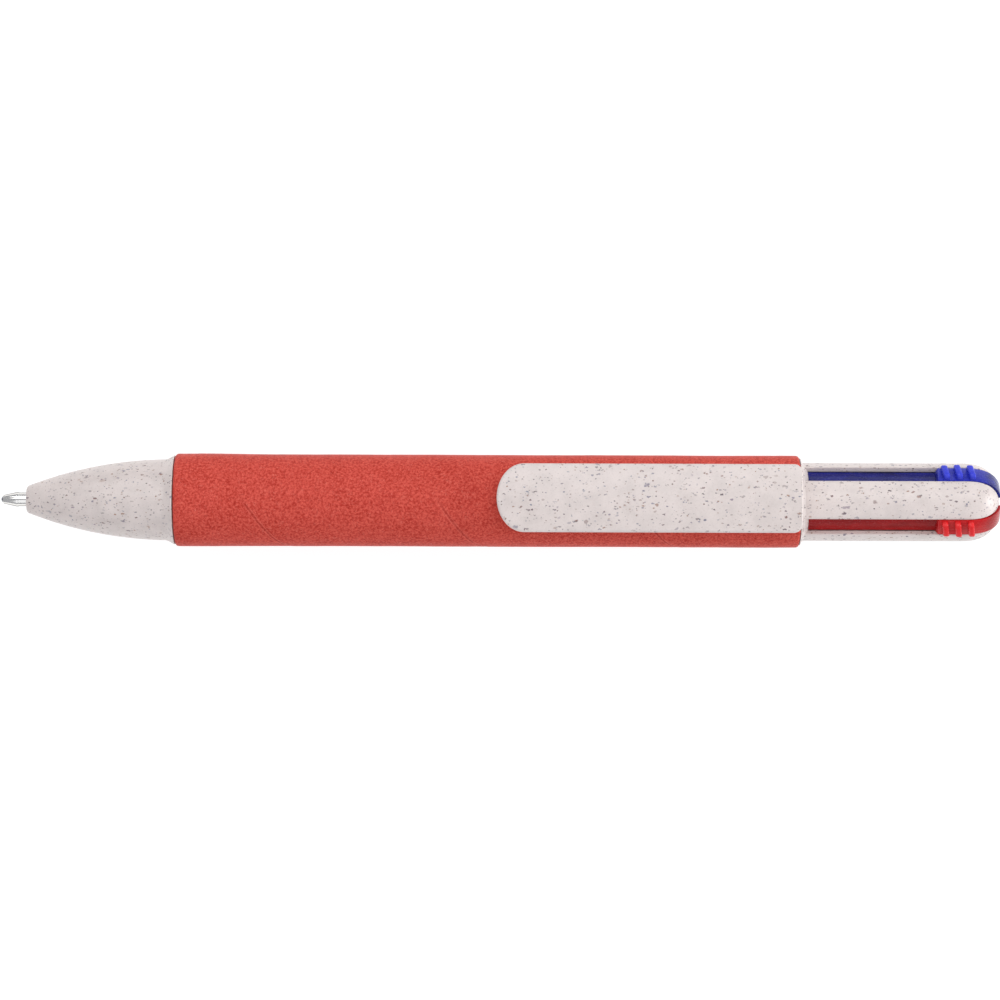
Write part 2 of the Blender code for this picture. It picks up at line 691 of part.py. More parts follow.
def main():
    clear_scene()
    materials = make_materials()
    axis_height = SLEEVE_RADIUS * math.cos(math.pi / SIDES)
    pen = make_empty("pen_axis", (-LENGTH / 2, 0, axis_height))
    frames = {
        colour: make_empty(colour + "_frame", turn=math.radians(-angle), parent=pen)
        for colour, angle in COLOURS.items()
    }
    make_nose_cone(pen, materials)
    make_front_insert(pen, materials)
    make_paper_sleeve(pen, materials)
    make_inner_barrel(pen, materials)
    make_rear_body(pen, frames, materials)
    make_clip(pen, materials)
    make_spring_seat(pen, frames, materials)
    make_guide_core(pen, materials)
    shared = slider_mesh(pen)
    for colour, frame in frames.items():
        make_slider(colour, shared, frame, materials)
        make_refill(colour, frame, materials)
        make_return_spring(colour, frame, materials)


main()
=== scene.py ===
"""The finished look of a four-colour click pen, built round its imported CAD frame."""

import math

import bmesh
import bpy
from mathutils import Matrix, Vector, noise


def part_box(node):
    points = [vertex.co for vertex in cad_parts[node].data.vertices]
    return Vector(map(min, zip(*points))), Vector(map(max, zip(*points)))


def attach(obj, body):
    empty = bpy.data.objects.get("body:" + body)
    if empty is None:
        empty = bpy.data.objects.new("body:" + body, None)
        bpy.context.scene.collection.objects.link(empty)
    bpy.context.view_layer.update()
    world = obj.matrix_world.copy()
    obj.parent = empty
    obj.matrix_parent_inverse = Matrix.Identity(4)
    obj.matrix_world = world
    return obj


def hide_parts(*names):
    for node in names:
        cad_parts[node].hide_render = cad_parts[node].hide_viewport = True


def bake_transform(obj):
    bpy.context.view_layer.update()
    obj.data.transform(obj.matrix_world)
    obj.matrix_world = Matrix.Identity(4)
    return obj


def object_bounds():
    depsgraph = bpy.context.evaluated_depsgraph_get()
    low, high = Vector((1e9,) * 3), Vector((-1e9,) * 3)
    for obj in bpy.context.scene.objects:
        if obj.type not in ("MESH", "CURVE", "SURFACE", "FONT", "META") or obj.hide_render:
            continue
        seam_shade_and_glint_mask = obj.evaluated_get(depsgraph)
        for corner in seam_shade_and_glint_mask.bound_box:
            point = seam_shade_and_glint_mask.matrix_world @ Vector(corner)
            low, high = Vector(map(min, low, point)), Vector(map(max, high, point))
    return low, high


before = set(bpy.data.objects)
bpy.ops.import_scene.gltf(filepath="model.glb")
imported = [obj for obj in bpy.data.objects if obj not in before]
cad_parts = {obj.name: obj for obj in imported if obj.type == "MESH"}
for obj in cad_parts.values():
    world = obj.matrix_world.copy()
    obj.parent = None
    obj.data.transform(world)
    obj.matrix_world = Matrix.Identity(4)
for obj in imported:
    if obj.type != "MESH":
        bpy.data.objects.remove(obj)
cad_low, cad_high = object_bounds()

MM = 0.001

# The pen's own frame: stations run along the axis from the writing point
LENGTH = 147.0 * MM
FRONT_X = cad_high.x - LENGTH
AXIS_Z = (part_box("paper_sleeve")[0].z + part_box("paper_sleeve")[1].z) / 2
COLOURS = {"blue": 45, "red": -45, "green": -135, "black": 135}
LATCHED = "black"
TRAVEL = 15.0 * MM
REFILL_OFFSET = 2.6 * MM
BEND_FRONT = 40.0 * MM
BEND_BACK = 90.0 * MM


def station_of(x):
    return x - FRONT_X


def node_span(node):
    """The first and last station of a CAD node."""
    low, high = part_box(node)
    return station_of(low.x), station_of(high.x)


# Geometry helpers


class Surface:
    """Collects the points and faces of one piece, in the row frame."""

    def __init__(self):
        self.points = []
        self.faces = []

    def row(self, points):
        first = len(self.points)
        self.points.extend(points)
        return list(range(first, len(self.points)))

    def strip(self, one, other, closed=False):
        """Joins two rows of the same length with quads."""
        count = len(one)
        for i in range(count if closed else count - 1):
            j = (i + 1) % count
            self.faces.append((one[i], one[j], other[j], other[i]))

    def rows(self, rows, closed=False):
        for one, other in zip(rows, rows[1:]):
            self.strip(one, other, closed)

    def cap(self, row):
        self.faces.append(tuple(row))

    def mesh(self, name, sharp=38):
        mesh = bpy.data.meshes.new(name)
        mesh.from_pydata([tuple(p) for p in self.points], [], self.faces)
        return tidied(mesh, sharp)


def tidied(mesh, sharp=38):
    """Merges points that meet, turns the faces outward and shades them smooth."""
    bm = bmesh.new()
    bm.from_mesh(mesh)
    bmesh.ops.remove_doubles(bm, verts=bm.verts, dist=1e-7)
    bmesh.ops.recalc_face_normals(bm, faces=bm.faces)
    bm.to_mesh(mesh)
    bm.free()
    mesh.shade_smooth()
    mesh.set_sharp_from_angle(angle=math.radians(sharp))
    return mesh


def pen(station, side, up, turn=0.0):
    """A point of the pen's frame in the row frame. turn moves +Z towards +Y, in degrees."""
    angle = math.radians(turn)
    y = side * math.cos(angle) + up * math.sin(angle)
    z = up * math.cos(angle) - side * math.sin(angle)
    return Vector((FRONT_X + station, y, AXIS_Z + z))


def bezier(start, control, end, steps):
    """A smooth bend from start to end, without its first point."""
    points = []
    for i in range(1, steps + 1):
        t = i / steps
        weights = ((1 - t) ** 2, 2 * t * (1 - t), t * t)
        points.append(tuple(sum(w * p[k] for w, p in zip(weights, (start, control, end))) for k in (0, 1)))
    return points


def softened(corners, steps=5, closed=True):
    """An outline from (x, y, radius) corners, each rounded by its radius."""
    count = len(corners)
    outline = []
    for i, (x, y, radius) in enumerate(corners):
        here = Vector((x, y))
        if radius == 0 or (not closed and i in (0, count - 1)):
            outline.append((x, y))
            continue
        before = Vector(corners[i - 1][:2]) - here
        after = Vector(corners[(i + 1) % count][:2]) - here
        half = before.angle(after) / 2
        reach = min(radius / math.tan(half), 0.49 * before.length, 0.49 * after.length)
        start = here + before.normalized() * reach
        end = here + after.normalized() * reach
        outline.append(tuple(start))
        outline.extend(bezier(start, here, end, steps))
    return outline


def add_piece(name, mesh, material, body, node=None):
    """Links a finished mesh as a piece of the pen that rides on a body and stands for a CAD node."""
    piece = bpy.data.objects.new(name, mesh)
    mesh.materials.clear()
    mesh.materials.append(material)
    bpy.context.scene.collection.objects.link(piece)
    if body:
        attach(piece, body)
    if node:
        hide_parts(node)
    return piece


def turned_surface(profile, sides, closed=True, place=pen):
    """A profile of (station, radius) points turned round the axis."""
    surface = Surface()
    rings = []
    for station, radius in profile:
        ring = []
        for i in range(sides):
            angle = 2 * math.pi * i / sides
            ring.append(place(station, radius * math.sin(angle), radius * math.cos(angle)))
        rings.append(surface.row(ring))
    surface.rows(rings, closed=True)
    if closed:
        surface.strip(rings[-1], rings[0], closed=True)
    else:
        surface.cap(rings[0])
        surface.cap(rings[-1])
    return surface


def prism(outline, low, high, place, across=True):
    """An outline extruded between two values: across the pen, or along it."""
    surface = Surface()
    rows = []
    for value in (low, high):
        if across:
            rows.append(surface.row([place(x, value, z) for x, z in outline]))
        else:
            rows.append(surface.row([place(value, y, z) for y, z in outline]))
    surface.rows(rows, closed=True)
    surface.cap(rows[0])
    surface.cap(rows[-1])
    return surface


def bevelled(mesh, width, segments=3, angle=30):
    """Rounds every edge of a simple solid that is sharper than an angle."""
    bm = bmesh.new()
    bm.from_mesh(mesh)
    edges = [e for e in bm.edges if e.is_manifold and e.calc_face_angle() > math.radians(angle)]
    bmesh.ops.bevel(
        bm, geom=edges, offset=width, segments=segments, profile=0.5, affect="EDGES", clamp_overlap=True
    )
    bm.to_mesh(mesh)
    bm.free()
    return mesh


def combined(base, others, operation, name, sharp=38):
    """The base mesh joined with, or cut by, each of the other meshes."""
    holder = bpy.data.objects.new(name, base)
    bpy.context.scene.collection.objects.link(holder)
    helpers = []
    for other in others:
        helper = bpy.data.objects.new(name + "_helper", other)
        bpy.context.scene.collection.objects.link(helper)
        helpers.append(helper)
        modifier = holder.modifiers.new("combine", "BOOLEAN")
        modifier.operation = operation
        modifier.solver = "EXACT"
        modifier.object = helper
    bpy.context.view_layer.update()
    graph = bpy.context.evaluated_depsgraph_get()
    result = bpy.data.meshes.new_from_object(holder.evaluated_get(graph))
    result.name = name
    for helper in helpers + [holder]:
        bpy.data.objects.remove(helper)
    return tidied(result, sharp)


# Materials


class Nodes:
    """Short calls for building one material's node tree."""

    def __init__(self, name):
        self.material = bpy.data.materials.new(name)
        self.material.use_nodes = True
        self.tree = self.material.node_tree
        self.shader = self.tree.nodes["Principled BSDF"]
        self.coords = self.tree.nodes.new("ShaderNodeTexCoord").outputs["Object"]

    def link(self, source, target):
        self.tree.links.new(source, target)

    def axes(self):
        """The x, y and z of the point, the last measured from the pen's axis."""
        node = self.tree.nodes.new("ShaderNodeSeparateXYZ")
        self.link(self.coords, node.inputs[0])
        x, y, z = node.outputs
        return x, y, self.math("SUBTRACT", z, AXIS_Z)

    def value(self, socket, value):
        if isinstance(value, bpy.types.NodeSocket):
            self.link(value, socket)
        else:
            socket.default_value = value

    def math(self, operation, a, b=0.0):
        node = self.tree.nodes.new("ShaderNodeMath")
        node.operation = operation
        self.value(node.inputs[0], a)
        self.value(node.inputs[1], b)
        return node.outputs[0]

    def vector(self, operation, a, b):
        node = self.tree.nodes.new("ShaderNodeVectorMath")
        node.operation = operation
        self.value(node.inputs[0], a)
        self.value(node.inputs[1], b)
        return node.outputs[0]

    def mapping(self, scale=(1, 1, 1), rotation=(0, 0, 0), location=(0, 0, 0), source=None):
        node = self.tree.nodes.new("ShaderNodeMapping")
        self.link(source or self.coords, node.inputs["Vector"])
        node.inputs["Scale"].default_value = scale
        node.inputs["Rotation"].default_value = rotation
        node.inputs["Location"].default_value = location
        return node.outputs[0]

    def noise(self, size, detail=2.0, roughness=0.5, source=None, distortion=0.0):
        """Noise from 0 to 1 whose features are about one size across, in metres."""
        node = self.tree.nodes.new("ShaderNodeTexNoise")
        self.link(source or self.coords, node.inputs["Vector"])
        node.inputs["Scale"].default_value = 1 / size
        node.inputs["Detail"].default_value = detail
        node.inputs["Roughness"].default_value = roughness
        node.inputs["Distortion"].default_value = distortion
        return node.outputs["Fac"], node.outputs["Color"]

    def cells(self, size, source=None):
        """Voronoi cells of a size in metres: distance to the centre in cells, and a random colour."""
        node = self.tree.nodes.new("ShaderNodeTexVoronoi")
        self.link(source or self.coords, node.inputs["Vector"])
        node.inputs["Scale"].default_value = 1 / size
        return node.outputs["Distance"], node.outputs["Color"]

    def split(self, colour):
        node = self.tree.nodes.new("ShaderNodeSeparateColor")
        self.link(colour, node.inputs[0])
        return node.outputs

    def ramp(self, factor, stops):
        """Colours between stops of (position, colour)."""
        node = self.tree.nodes.new("ShaderNodeValToRGB")
        self.link(factor, node.inputs[0])
        elements = node.color_ramp.elements
        while len(elements) < len(stops):
            elements.new(0.5)
        for element, (position, colour) in zip(elements, stops):
            element.position = position
            element.color = (*colour, 1)
        return node.outputs[0]

    def spread(self, factor, low, high, to_low=0.0, to_high=1.0, smooth=False):
        """Maps low..high to to_low..to_high, clamped."""
        node = self.tree.nodes.new("ShaderNodeMapRange")
        node.interpolation_type = "SMOOTHSTEP" if smooth else "LINEAR"
        for index, value in enumerate((factor, low, high, to_low, to_high)):
            self.value(node.inputs[index], value)
        return node.outputs[0]

    def mix(self, factor, a, b):
        """From colour a to colour b, each a socket or three numbers."""
        node = self.tree.nodes.new("ShaderNodeMix")
        node.data_type = "RGBA"
        self.value(node.inputs["Factor"], factor)
        first, second = [socket for socket in node.inputs if socket.type == "RGBA"]
        for socket, value in ((first, a), (second, b)):
            self.value(socket, (*value, 1) if isinstance(value, tuple) else value)
        return next(socket for socket in node.outputs if socket.type == "RGBA")

    def bump(self, height, distance, strength):
        node = self.tree.nodes.new("ShaderNodeBump")
        node.inputs["Strength"].default_value = strength
        node.inputs["Distance"].default_value = distance
        self.link(height, node.inputs["Height"])
        return node.outputs[0]

    def finish(self, colour, roughness, normal=None, **sockets):
        """Links the three sockets, sets the rest to constants and gives the material."""
        self.link(colour, self.shader.inputs["Base Color"])
        self.link(roughness, self.shader.inputs["Roughness"])
        if normal:
            self.link(normal, self.shader.inputs["Normal"])
        for name, value in sockets.items():
            self.shader.inputs[name.replace("_", " ")].default_value = value
        return self.material


def srgb(red, green, blue):
    """A display colour of 0 to 255 as linear light."""
    return tuple(
        v / 255 / 12.92 if v / 255 <= 0.04045 else ((v / 255 + 0.055) / 1.055) ** 2.4
        for v in (red, green, blue)
    )


def flecks(nodes, size, stretch, turn, share, largest, offset):
    """One layer of plant flecks: a mask with soft ragged edges, and a random tint from 0 to 1 for each."""
    warp = nodes.noise(size * 0.35, 2.0)[1]
    shift = nodes.vector("MULTIPLY", nodes.vector("SUBTRACT", warp, (0.5, 0.5, 0.5)), (size * 0.5,) * 3)
    moved = nodes.vector("ADD", nodes.coords, shift)
    source = nodes.mapping((1, stretch, stretch), turn, (offset, offset * 2, offset * 3), source=moved)
    distance, colour = nodes.cells(size, source)
    chance, tint, depth = nodes.split(colour)
    radius = nodes.spread(chance, 1 - share, 1.0, 0.0, largest)
    edge = nodes.math("SUBTRACT", radius, distance)
    mask = nodes.spread(edge, 0.0, 0.10, smooth=True)
    strength = nodes.spread(depth, 0.0, 1.0, 0.3, 1.0)
    return nodes.math("MULTIPLY", mask, strength), tint


def straw_plastic(name, shade, fleck_size=1.0):
    """Pale plastic filled with chopped wheat straw: soft mottling and ragged flecks of several kinds."""
    nodes = Nodes(name)
    cloud = nodes.noise(2.2 * MM, 3.0)[0]
    darker = tuple(v * 0.93 for v in shade)
    lighter = tuple(v * 1.05 for v in shade)
    colour = nodes.ramp(cloud, [(0.3, darker), (0.5, shade), (0.7, lighter)])
    fine = nodes.noise(0.25 * MM, 3.0, 0.6)[0]
    colour = nodes.mix(nodes.spread(fine, 0.5, 0.75, 0, 0.3), colour, srgb(190, 174, 168))
    layers = (
        # cell, stretch, turn, share of cells, largest radius in cells, offset
        (0.42 * MM, 1.4, (0.2, 1.7, 0.9), 0.36, 0.42, 0.07),
        (0.62 * MM, 1.6, (0.3, 0.7, 0.4), 0.45, 0.44, 0.11),
        (0.95 * MM, 2.2, (1.1, 0.2, 1.3), 0.42, 0.42, 0.23),
        (1.5 * MM, 1.8, (0.6, 1.0, 2.2), 0.34, 0.32, 0.37),
        (2.6 * MM, 1.5, (0.9, 0.4, 0.8), 0.26, 0.23, 0.51),
    )
    tints = [
        (0.0, srgb(72, 52, 58)),
        (0.25, srgb(104, 84, 92)),
        (0.45, srgb(160, 120, 98)),
        (0.6, srgb(128, 104, 104)),
        (0.8, srgb(112, 114, 134)),
        (1.0, srgb(150, 130, 142)),
    ]
    total = None
    for cell, stretch, turn, share, largest, offset in layers:
        mask, tint = flecks(nodes, cell * fleck_size, stretch, turn, share, largest, offset)
        colour = nodes.mix(mask, colour, nodes.ramp(tint, tints))
        total = mask if total is None else nodes.math("MAXIMUM", total, mask)
    grain = nodes.noise(0.18 * MM, 2.0)[0]
    height = nodes.math("SUBTRACT", nodes.math("MULTIPLY", grain, 0.35), nodes.math("MULTIPLY", total, 0.5))
    normal = nodes.bump(height, 0.012 * MM, 0.6)
    dullness = nodes.math("ADD", cloud, nodes.math("MULTIPLY", total, 0.3))
    roughness = nodes.spread(dullness, 0.3, 1.0, 0.3, 0.46)
    return nodes.finish(colour, roughness, normal, Specular_IOR_Level=0.55)


SEAM_PITCH = 28.4 * MM
SEAM_STATION = 42.8 * MM


def red_paper():
    """Matte recycled paper, dyed in the pulp: fibre grain, cloudy dye, and the wound strip's seam."""
    nodes = Nodes("red_paper")
    cloud = nodes.noise(5.0 * MM, 3.0, 0.6)[0]
    blotch = nodes.noise(1.3 * MM, 4.0, 0.65)[0]
    grain = nodes.noise(0.34 * MM, 3.0, 0.75)[0]
    long_way = nodes.noise(0.2 * MM, 3.0, 0.6, nodes.mapping((0.22, 1, 1), (0, 0, 0.5)))[0]
    cross_way = nodes.noise(0.22 * MM, 3.0, 0.6, nodes.mapping((1, 0.25, 0.25), (0.4, 0, 0.3)))[0]
    fibre = nodes.math("MAXIMUM", long_way, cross_way)
    pale = nodes.math("MINIMUM", long_way, cross_way)
    dyes = [(0.25, srgb(187, 62, 52)), (0.5, srgb(197, 71, 61)), (0.75, srgb(207, 80, 70))]
    colour = nodes.ramp(cloud, dyes)
    colour = nodes.mix(nodes.spread(blotch, 0.4, 0.75, 0.0, 0.6), colour, srgb(178, 50, 42))
    colour = nodes.mix(nodes.spread(grain, 0.42, 0.68, 0.0, 0.85), colour, srgb(226, 102, 88))
    colour = nodes.mix(nodes.spread(grain, 0.5, 0.28, 0.0, 0.7), colour, srgb(158, 40, 34))
    colour = nodes.mix(nodes.spread(fibre, 0.6, 0.75, 0.0, 0.5), colour, srgb(152, 40, 36))
    colour = nodes.mix(nodes.spread(pale, 0.52, 0.64, 0.0, 0.5), colour, srgb(236, 128, 114))
    specks_distance, specks_colour = nodes.cells(3.2 * MM)
    chance = nodes.split(specks_colour)[0]
    size = nodes.spread(chance, 0.94, 1.0, 0.0, 0.09)
    speck = nodes.spread(nodes.math("SUBTRACT", size, specks_distance), 0.0, 0.02)
    colour = nodes.mix(nodes.math("MULTIPLY", speck, 0.6), colour, srgb(95, 32, 32))
    # Helical seam: how far each point lies along the winding, from 0 to 1, with the seam at a half
    x, y, up = nodes.axes()
    turn = nodes.math("ARCTAN2", nodes.math("MULTIPLY", y, -1), up)
    lead = nodes.math("MULTIPLY", nodes.math("SUBTRACT", turn, math.pi / 2), SEAM_PITCH / (2 * math.pi))
    along = nodes.math("SUBTRACT", nodes.math("SUBTRACT", x, FRONT_X + SEAM_STATION), lead)
    winding = nodes.math("FRACT", nodes.math("ADD", nodes.math("DIVIDE", along, SEAM_PITCH), 10.5))
    off = nodes.math("ABSOLUTE", nodes.math("MULTIPLY", nodes.math("SUBTRACT", winding, 0.5), SEAM_PITCH))
    # Painted shade and highlight: the seam's dark line and the light glint beside it are drawn only on one
    # flank and, in places, underneath
    flank = nodes.spread(y, 0.5 * MM, -2.0 * MM)
    under = nodes.spread(up, 0.0, -3.0 * MM)
    broken = nodes.math("MULTIPLY", under, nodes.spread(nodes.noise(6.0 * MM, 2.0)[0], 0.42, 0.6))
    seam_shade_and_glint_mask = nodes.math("MAXIMUM", flank, broken)
    seam_groove_shade = nodes.math("MULTIPLY", nodes.spread(off, 0.06 * MM, 0.2 * MM, 1.0, 0.0, smooth=True), seam_shade_and_glint_mask)
    beside = nodes.math("ABSOLUTE", nodes.math("SUBTRACT", off, 0.3 * MM))
    glint = nodes.math("MULTIPLY", nodes.spread(beside, 0.03 * MM, 0.14 * MM, 1.0, 0.0, smooth=True), seam_shade_and_glint_mask)
    # The dark line is partly the joint's own colour and partly painted shade of the strip's step; the glint
    # is a painted highlight
    colour = nodes.mix(nodes.math("MULTIPLY", seam_groove_shade, 0.3), colour, srgb(128, 36, 34))
    colour = nodes.mix(nodes.math("MULTIPLY", glint, 0.22), colour, srgb(236, 128, 114))
    height = nodes.math("ADD", nodes.math("MULTIPLY", grain, 0.8), nodes.math("MULTIPLY", fibre, 0.8))
    height = nodes.math("ADD", height, nodes.math("MULTIPLY", blotch, 0.8))
    height = nodes.math("SUBTRACT", height, nodes.math("MULTIPLY", seam_groove_shade, 0.4))
    normal = nodes.bump(height, 0.05 * MM, 0.8)
    roughness = nodes.spread(grain, 0.3, 0.7, 0.32, 0.42)
    return nodes.finish(colour, roughness, normal, Specular_IOR_Level=0.02)


def slider_plastic(name, slot_shaded_colour, proud_lit_colour):
    """Glossy dyed plastic with painted shade, darker down in the slot and lighter on the proud ribs: faint
    flow marks, and fine scuffs and dust that dull it in places.
    """
    nodes = Nodes(name)
    flow = nodes.noise(1.4 * MM, 3.0, 0.55, nodes.mapping((0.35, 1, 1)), 0.6)[0]
    # Painted shade: the bar down in its slot gets the darker colour and the proud thumb ribs the lighter, lit
    # one, by distance from the axis
    y, up = nodes.axes()[1:]
    squares = nodes.math("ADD", nodes.math("MULTIPLY", y, y), nodes.math("MULTIPLY", up, up))
    lit_share = nodes.spread(nodes.math("SQRT", squares), 4.7 * MM, 6.2 * MM)
    colour = nodes.mix(nodes.spread(flow, 0.3, 0.7, 0.0, 0.3), nodes.mix(lit_share, slot_shaded_colour, proud_lit_colour), proud_lit_colour)
    scuff = nodes.noise(0.22 * MM, 3.0, 0.7, nodes.mapping((0.25, 1, 1), (0, 0, 0.2)))[0]
    dust = nodes.noise(0.35 * MM, 4.0, 0.7)[0]
    scuffed = nodes.spread(scuff, 0.45, 0.75, 0.0, 0.08)
    dusty = nodes.spread(dust, 0.4, 0.8, 0.0, 0.08)
    roughness = nodes.math("ADD", nodes.math("ADD", scuffed, dusty), 0.22)
    height = nodes.math("ADD", nodes.math("MULTIPLY", flow, 1.0), nodes.math("MULTIPLY", scuff, 0.05))
    normal = nodes.bump(height, 0.01 * MM, 0.4)
    return nodes.finish(colour, roughness, normal, Specular_IOR_Level=0.38)


def metal(name, shade, dark, roughness, mark_size, marks_along=False, rim=1.0):
    """Drawn or turned metal: fine marks round or along it, slight staining. A rim under 1 darkens edges."""
    nodes = Nodes(name)
    scale = (0.05, 1, 1) if marks_along else (1, 0.04, 0.04)
    marks = nodes.noise(mark_size, 3.0, 0.7, nodes.mapping(scale))[0]
    stain = nodes.noise(1.2 * MM, 3.0)[0]
    colour = nodes.mix(nodes.spread(stain, 0.4, 0.8, 0.0, 0.35), shade, dark)
    rough = nodes.spread(marks, 0.3, 0.7, roughness * 0.8, roughness * 1.4)
    normal = nodes.bump(marks, 0.004 * MM, 0.4)
    return nodes.finish(colour, rough, normal, Metallic=1.0, Specular_Tint=(rim, rim, rim, 1))


def liner_plastic():
    """Plain moulded plastic of the hidden parts, with flow marks and a fine spark-eroded grain."""
    nodes = Nodes("liner_plastic")
    flow = nodes.noise(3.0 * MM, 3.0, 0.55, nodes.mapping((0.3, 1, 1)))[0]
    grain = nodes.noise(0.15 * MM, 2.0)[0]
    colour = nodes.ramp(flow, [(0.3, srgb(214, 208, 202)), (0.7, srgb(228, 224, 218))])
    roughness = nodes.spread(grain, 0.3, 0.7, 0.42, 0.56)
    return nodes.finish(colour, roughness, nodes.bump(grain, 0.01 * MM, 0.5), Specular_IOR_Level=0.4)


def tube_plastic():
    """Milky tube with drawing lines along it."""
    nodes = Nodes("refill_tube")
    lines = nodes.noise(0.2 * MM, 2.0, 0.5, nodes.mapping((0.03, 1, 1)))[0]
    colour = nodes.ramp(lines, [(0.3, srgb(226, 226, 222)), (0.7, srgb(238, 238, 235))])
    roughness = nodes.spread(lines, 0.3, 0.7, 0.2, 0.34)
    normal = nodes.bump(lines, 0.01 * MM, 0.4)
    return nodes.finish(colour, roughness, normal, Transmission_Weight=0.6, IOR=1.5)


def ink(name, shade):
    """Thick dark ink with a faint swirl."""
    nodes = Nodes(name)
    swirl = nodes.noise(0.8 * MM, 3.0, 0.6)[0]
    lighter = tuple(min(1.0, v * 1.6 + 0.004) for v in shade)
    colour = nodes.ramp(swirl, [(0.3, shade), (0.75, lighter)])
    return nodes.finish(colour, nodes.spread(swirl, 0.3, 0.7, 0.08, 0.16))


def make_materials():
    made = {
        "straw_plastic": straw_plastic("straw_plastic", srgb(219, 208, 204)),
        "straw_nose": straw_plastic("straw_nose", srgb(217, 206, 202), 0.85),
        "red_paper": red_paper(),
        "liner_plastic": liner_plastic(),
        "nickel_silver": metal(
            "nickel_silver", srgb(243, 241, 238), srgb(226, 223, 218), 0.13, 0.1 * MM, rim=0.0
        ),
        "carbide": metal("carbide", srgb(150, 150, 155), srgb(110, 110, 115), 0.1, 0.05 * MM),
        "spring_steel": metal(
            "spring_steel", srgb(190, 190, 192), srgb(120, 118, 115), 0.25, 0.05 * MM, marks_along=True
        ),
        "refill_tube": tube_plastic(),
    }
    # Each colour as (painted slot shade, lit colour of the proud ribs); the shaded one also colours the ink
    shaded_and_lit_colours = {
        "blue": (srgb(15, 17, 82), srgb(50, 60, 206)),
        "red": (srgb(140, 6, 10), srgb(224, 30, 34)),
        "green": (srgb(8, 84, 40), srgb(18, 142, 68)),
        "black": (srgb(18, 18, 20), srgb(36, 36, 40)),
    }
    for colour, (slot_shaded_colour, proud_lit_colour) in shaded_and_lit_colours.items():
        made[colour + "_plastic"] = slider_plastic(colour + "_plastic", slot_shaded_colour, proud_lit_colour)
        made[colour + "_ink"] = ink(colour + "_ink", slot_shaded_colour)
    return made


# Nose cone

NOSE_FLARE = 24.1 * MM
OGIVE_LEVEL = 25.0 * MM
NOSE_BACK = 25.62 * MM
NOSE_RADIUS = 5.96 * MM
NOSE_TIP_RADIUS = 1.93 * MM
NOSE_RIM_RADIUS = 6.55 * MM
NOSE_HOLE = 1.35 * MM
NOSE_EDGE = 0.32 * MM
NOSE_STEPS = 44
THREAD_RADIUS = 4.9 * MM
# The inside, from back to front, as (station, radius)
NOSE_BORE = ((18.5 * MM, 4.1 * MM), (11.0 * MM, 3.3 * MM), (5.6 * MM, 1.7 * MM))


def ogive_radius(station, front):
    """An arc, level just behind the start of the flare, that falls to the tip radius at the front."""
    run = OGIVE_LEVEL - front
    drop = NOSE_RADIUS - NOSE_TIP_RADIUS
    arc = (run * run + drop * drop) / (2 * drop)
    return NOSE_RADIUS - arc + math.sqrt(arc * arc - (OGIVE_LEVEL - station) ** 2)


def make_nose_cone(material):
    front, spigot_back = node_span("nose_cone")
    profile = [(front + 0.15 * MM, NOSE_HOLE + 0.03 * MM)]
    profile += bezier(profile[-1], (front, NOSE_HOLE), (front, NOSE_HOLE + 0.12 * MM), 3)
    profile.append((front, ogive_radius(front, front) - NOSE_EDGE))
    start = (front + NOSE_EDGE, ogive_radius(front + NOSE_EDGE, front))
    profile += bezier(profile[-1], (front, ogive_radius(front, front)), start, 5)
    for i in range(1, NOSE_STEPS + 1):
        station = start[0] + (NOSE_FLARE - start[0]) * i / NOSE_STEPS
        profile.append((station, ogive_radius(station, front)))
    rim_front = (NOSE_BACK - 0.26 * MM, NOSE_RIM_RADIUS - 0.06 * MM)
    rim_top = (NOSE_BACK - 0.1 * MM, NOSE_RIM_RADIUS)
    rim_back = (NOSE_BACK, NOSE_RIM_RADIUS - 0.1 * MM)
    profile += bezier(profile[-1], (NOSE_FLARE + 0.45 * MM, NOSE_RADIUS + 0.02 * MM), rim_front, 8)
    profile += bezier(rim_front, (NOSE_BACK - 0.2 * MM, NOSE_RIM_RADIUS), rim_top, 3)
    profile += bezier(rim_top, (NOSE_BACK, NOSE_RIM_RADIUS), rim_back, 3)
    profile += [(NOSE_BACK, THREAD_RADIUS), (spigot_back, THREAD_RADIUS), (spigot_back, NOSE_BORE[0][1])]
    profile += NOSE_BORE
    mesh = turned_surface(profile, 144).mesh("nose_cone")
    add_piece("nose_cone_shell", mesh, material, "root", "nose_cone")


# Paper sleeve

FOOT_FRONT = 112.6 * MM
FOOT_BACK = 116.8 * MM
WINDOW_HALF_WIDTH = 2.4 * MM
SLEEVE_RADIUS = 6.76 * MM
SLEEVE_BORE = 5.85 * MM
SLEEVE_EDGE = 0.5 * MM
SLEEVE_COLUMNS = 168
SLEEVE_ROW = 0.32 * MM
SEAM_STEP = 0.025 * MM
SEAM_RAMP = 0.012
SLOW_WAVE = 0.035 * MM
PULP_WAVE = 0.012 * MM
SWELL = 0.08 * MM
SWELL_STATION = 29 * MM
SWELL_REACH = 6 * MM
RAGGED = 0.035 * MM


def seam_share(station, angle):
    """How far past the seam a point lies, as a share of the pitch. The angle runs from +Z towards -Y."""
    lead = SEAM_PITCH * (angle - math.pi / 2) / (2 * math.pi)
    return ((station - SEAM_STATION - lead) / SEAM_PITCH) % 1.0


